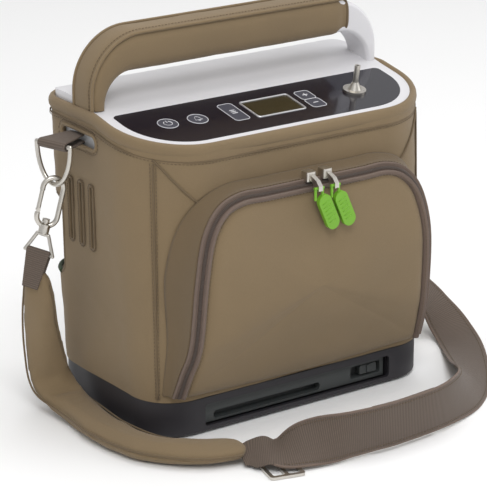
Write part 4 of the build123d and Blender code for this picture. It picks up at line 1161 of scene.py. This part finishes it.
# ------------------------------------------------------------ shoulder pad and webbing on the floor
pad_top = TAB_FOOT + HOOK_UP * 4.0
PAD_STATIONS = [
    (pad_top, (0.6, -0.8, 0), 18),
    ((-189.5, 23.5, 112), (0.6, -0.8, 0), 27),
    ((-184, 32, 84), (0.6, -0.8, 0), 32),
    ((-178, 38, 54), (0.8, -0.6, 0), 34),
    ((-173, 38, 27), (0.92, -0.38, 0), 36),
    ((-168, 22, 12), (1, -0.1, 0), 37),
    ((-167, -6, 8.5), (1, 0, 0), 37),
    ((-169, -48, 8.5), (1, 0.05, 0), 37),
    ((-160, -94, 8.5), (0.85, 0.5, 0), 37),
    ((-136, -126, 8.5), (0.55, 0.8, 0), 37),
    ((-113, -140, 8.5), (0.4, 0.9, 0), 33),
    ((-98, -145, 8.5), (0.35, 0.93, 0), 22),
]
pad, pad_frames, pad_fine = strip("shoulder_pad_soft", PAD_STATIONS, 37, 12.0, 9, soft=True, sides=32)
puff(pad, 3.6, 3.0, 3.0)
subdivide(pad)
for vertex in pad.data.vertices:
    p = vertex.co / MM
    shift = noise.noise(p * 0.045) * 0.7
    vertex.co += Vector((shift, shift, 0.5 * shift)) * MM
    vertex.co.z = max(vertex.co.z, 0.0003)
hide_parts("shoulder_pad")
pad.data.materials.clear()
pad.data.materials.append(khaki)
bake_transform(pad)


def along_strip(frames, fine, across, up, first=0, last=None):
    """A line along a strap at a share of its width, standing off its face."""
    out = []
    for (p, _, side, normal), row in list(zip(frames, fine))[first:last]:
        out.append(p + side * row[6] / 2 * across + normal * up)
    return out


seam_count = len(pad_frames)
for n, (across, up) in enumerate(((0.97, 2.0), (-0.97, 2.0))):
    seam = tube(f"pad_seam_{n}", along_strip(pad_frames, pad_fine, across, up, 6, seam_count - 5), 0.9, 8)
    # painted shade: the pad seams take the darker copy of the case knit
    seam.data.materials.append(khaki_painted_shade)
    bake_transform(seam)

RIGHT_FOOT = flip(TAB_FOOT, 1)
UP = (0, 0, 1)
WEB_STATIONS = [
    ((-106, -150, 6), (0.35, 0.9, 0.3), 22),
    ((-99, -153.5, 8.5), (0.4, 0.85, 0.35), 30),
    ((-91, -161, 11), (0.3, 0.9, 0.25), 36),
    ((-80, -169, 10.4), (0.2, 0.95, 0.2)),
    ((-62, -180, 17.5), (0.1, 0.7, 0.7)),
    ((-38, -193, 22), (0, 0.15, 1)),
    ((-10, -197.5, 23), UP),
    ((18, -198, 23), UP),
    ((60, -194, 23), UP),
    ((94, -181, 21), (-0.1, 0.15, 1)),
    ((126, -158, 16), (-0.4, 0.35, 0.8)),
    ((160, -118, 9), (-0.7, 0.5, 0.4)),
    ((200, -60, 3), (-0.82, 0.57, 0)),
    ((213, -28, 9), (-0.9, 0.35, 0)),
    ((210, -8, 26), (-0.95, -0.2, 0)),
    ((200, 2, 48), (-0.75, -0.65, 0)),
    ((197, 12, 80), (-0.6, -0.8, 0), 34),
    (RIGHT_FOOT + Vector((3, -1, -16)), (-0.6, -0.8, 0), 24),
    (RIGHT_FOOT + Vector((0.5, 0, -2)), (-0.6, -0.8, 0), 19),
]
TAIL_STATIONS = [
    ((-8, -194.6, 22.6), UP),
    ((18, -195.4, 22.6), UP),
    ((58, -191.8, 22.6), UP),
]


def hang_right(obj, material):
    """Gives a webbing piece its material and bakes its placement into its mesh."""
    obj.data.materials.clear()
    obj.data.materials.append(material)
    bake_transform(obj)


web, web_frames, web_fine = strip("webbing_main", WEB_STATIONS, STRAP, 2.0, 10)
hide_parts("strap_webbing")
hang_right(web, mauve)
tail, tail_frames, tail_fine = strip("webbing_tail", TAIL_STATIONS, STRAP, 1.8, 10)
dress(tail, mauve)
for n, (across, up) in enumerate(((0.84, 1.1), (-0.84, 1.1), (0.84, -1.1), (-0.84, -1.1))):
    line = along_strip(web_frames, web_fine, across, up, 30, None)
    hang_right(stitches(f"webbing_stitches_{n}", line, 3.0, 2.0, 0.35), thread)
for n, across in enumerate((0.985, -0.985)):
    line = along_strip(web_frames, web_fine, across, 0.0, 26, None)
    hang_right(tube(f"webbing_selvedge_{n}", line, 1.15, 8), tape_cloth)

# ------------------------------------------------------------ floor, light and camera
floor_mesh = bpy.data.meshes.new("floor")
floor_mesh.from_pydata([(-8, -8, 0), (8, -8, 0), (8, 8, 0), (-8, 8, 0)], [], [(0, 1, 2, 3)])
floor = bpy.data.objects.new("floor", floor_mesh)
bpy.context.scene.collection.objects.link(floor)
pale = Nodes("pale_floor", (0.93, 0.93, 0.93), 0.8)
pale.rough(pale.noise(3.0), 0.7, 0.9)
floor_mesh.materials.append(pale.material)


def area_light(name, place, target, size, power):
    data = bpy.data.lights.new(name, "AREA")
    data.shape = "DISK"
    data.size = size
    data.energy = power
    light = bpy.data.objects.new(name, data)
    bpy.context.scene.collection.objects.link(light)
    light.location = place
    light.rotation_mode = "QUATERNION"
    light.rotation_quaternion = (Vector(target) - Vector(place)).to_track_quat("-Z", "Y")
    return light


MIDDLE = (0, 0, 0.14)
area_light("key", (-0.9, -1.6, 2.2), MIDDLE, 1.2, 26)
area_light("top", (0.3, 0.2, 2.6), MIDDLE, 1.8, 22)
area_light("fill", (2.0, -1.2, 1.2), MIDDLE, 1.6, 10)
world = bpy.data.worlds.new("studio")
world.use_nodes = True
world_nodes = world.node_tree
world_nodes.nodes["Background"].inputs[0].default_value = (1, 1, 1, 1)
rays = world_nodes.nodes.new("ShaderNodeLightPath")
level = world_nodes.nodes.new("ShaderNodeMapRange")
level.inputs["To Min"].default_value = 0.62
level.inputs["To Max"].default_value = 1.0
world_nodes.links.new(rays.outputs["Is Camera Ray"], level.inputs["Value"])
world_nodes.links.new(level.outputs[0], world_nodes.nodes["Background"].inputs[1])
bpy.context.scene.world = world
bpy.context.scene.view_settings.view_transform = "Standard"

camera_data = bpy.data.cameras.new("camera")
camera_data.lens = 174.3
camera_data.sensor_width = 36
camera_data.sensor_fit = "AUTO"
camera = bpy.data.objects.new("camera", camera_data)
bpy.context.scene.collection.objects.link(camera)
AZIMUTH, ELEVATION, DISTANCE = radians(-34.974), radians(19.163), 2.0889
TARGET = Vector((0.00058, 0, 0.11845))
back_way = Vector((
    sin(AZIMUTH) * cos(ELEVATION),
    -cos(AZIMUTH) * cos(ELEVATION),
    sin(ELEVATION),
))
camera.location = TARGET + back_way * DISTANCE
camera.rotation_mode = "QUATERNION"
camera.rotation_quaternion = (-back_way).to_track_quat("-Z", "Y")
bpy.context.scene.camera = camera
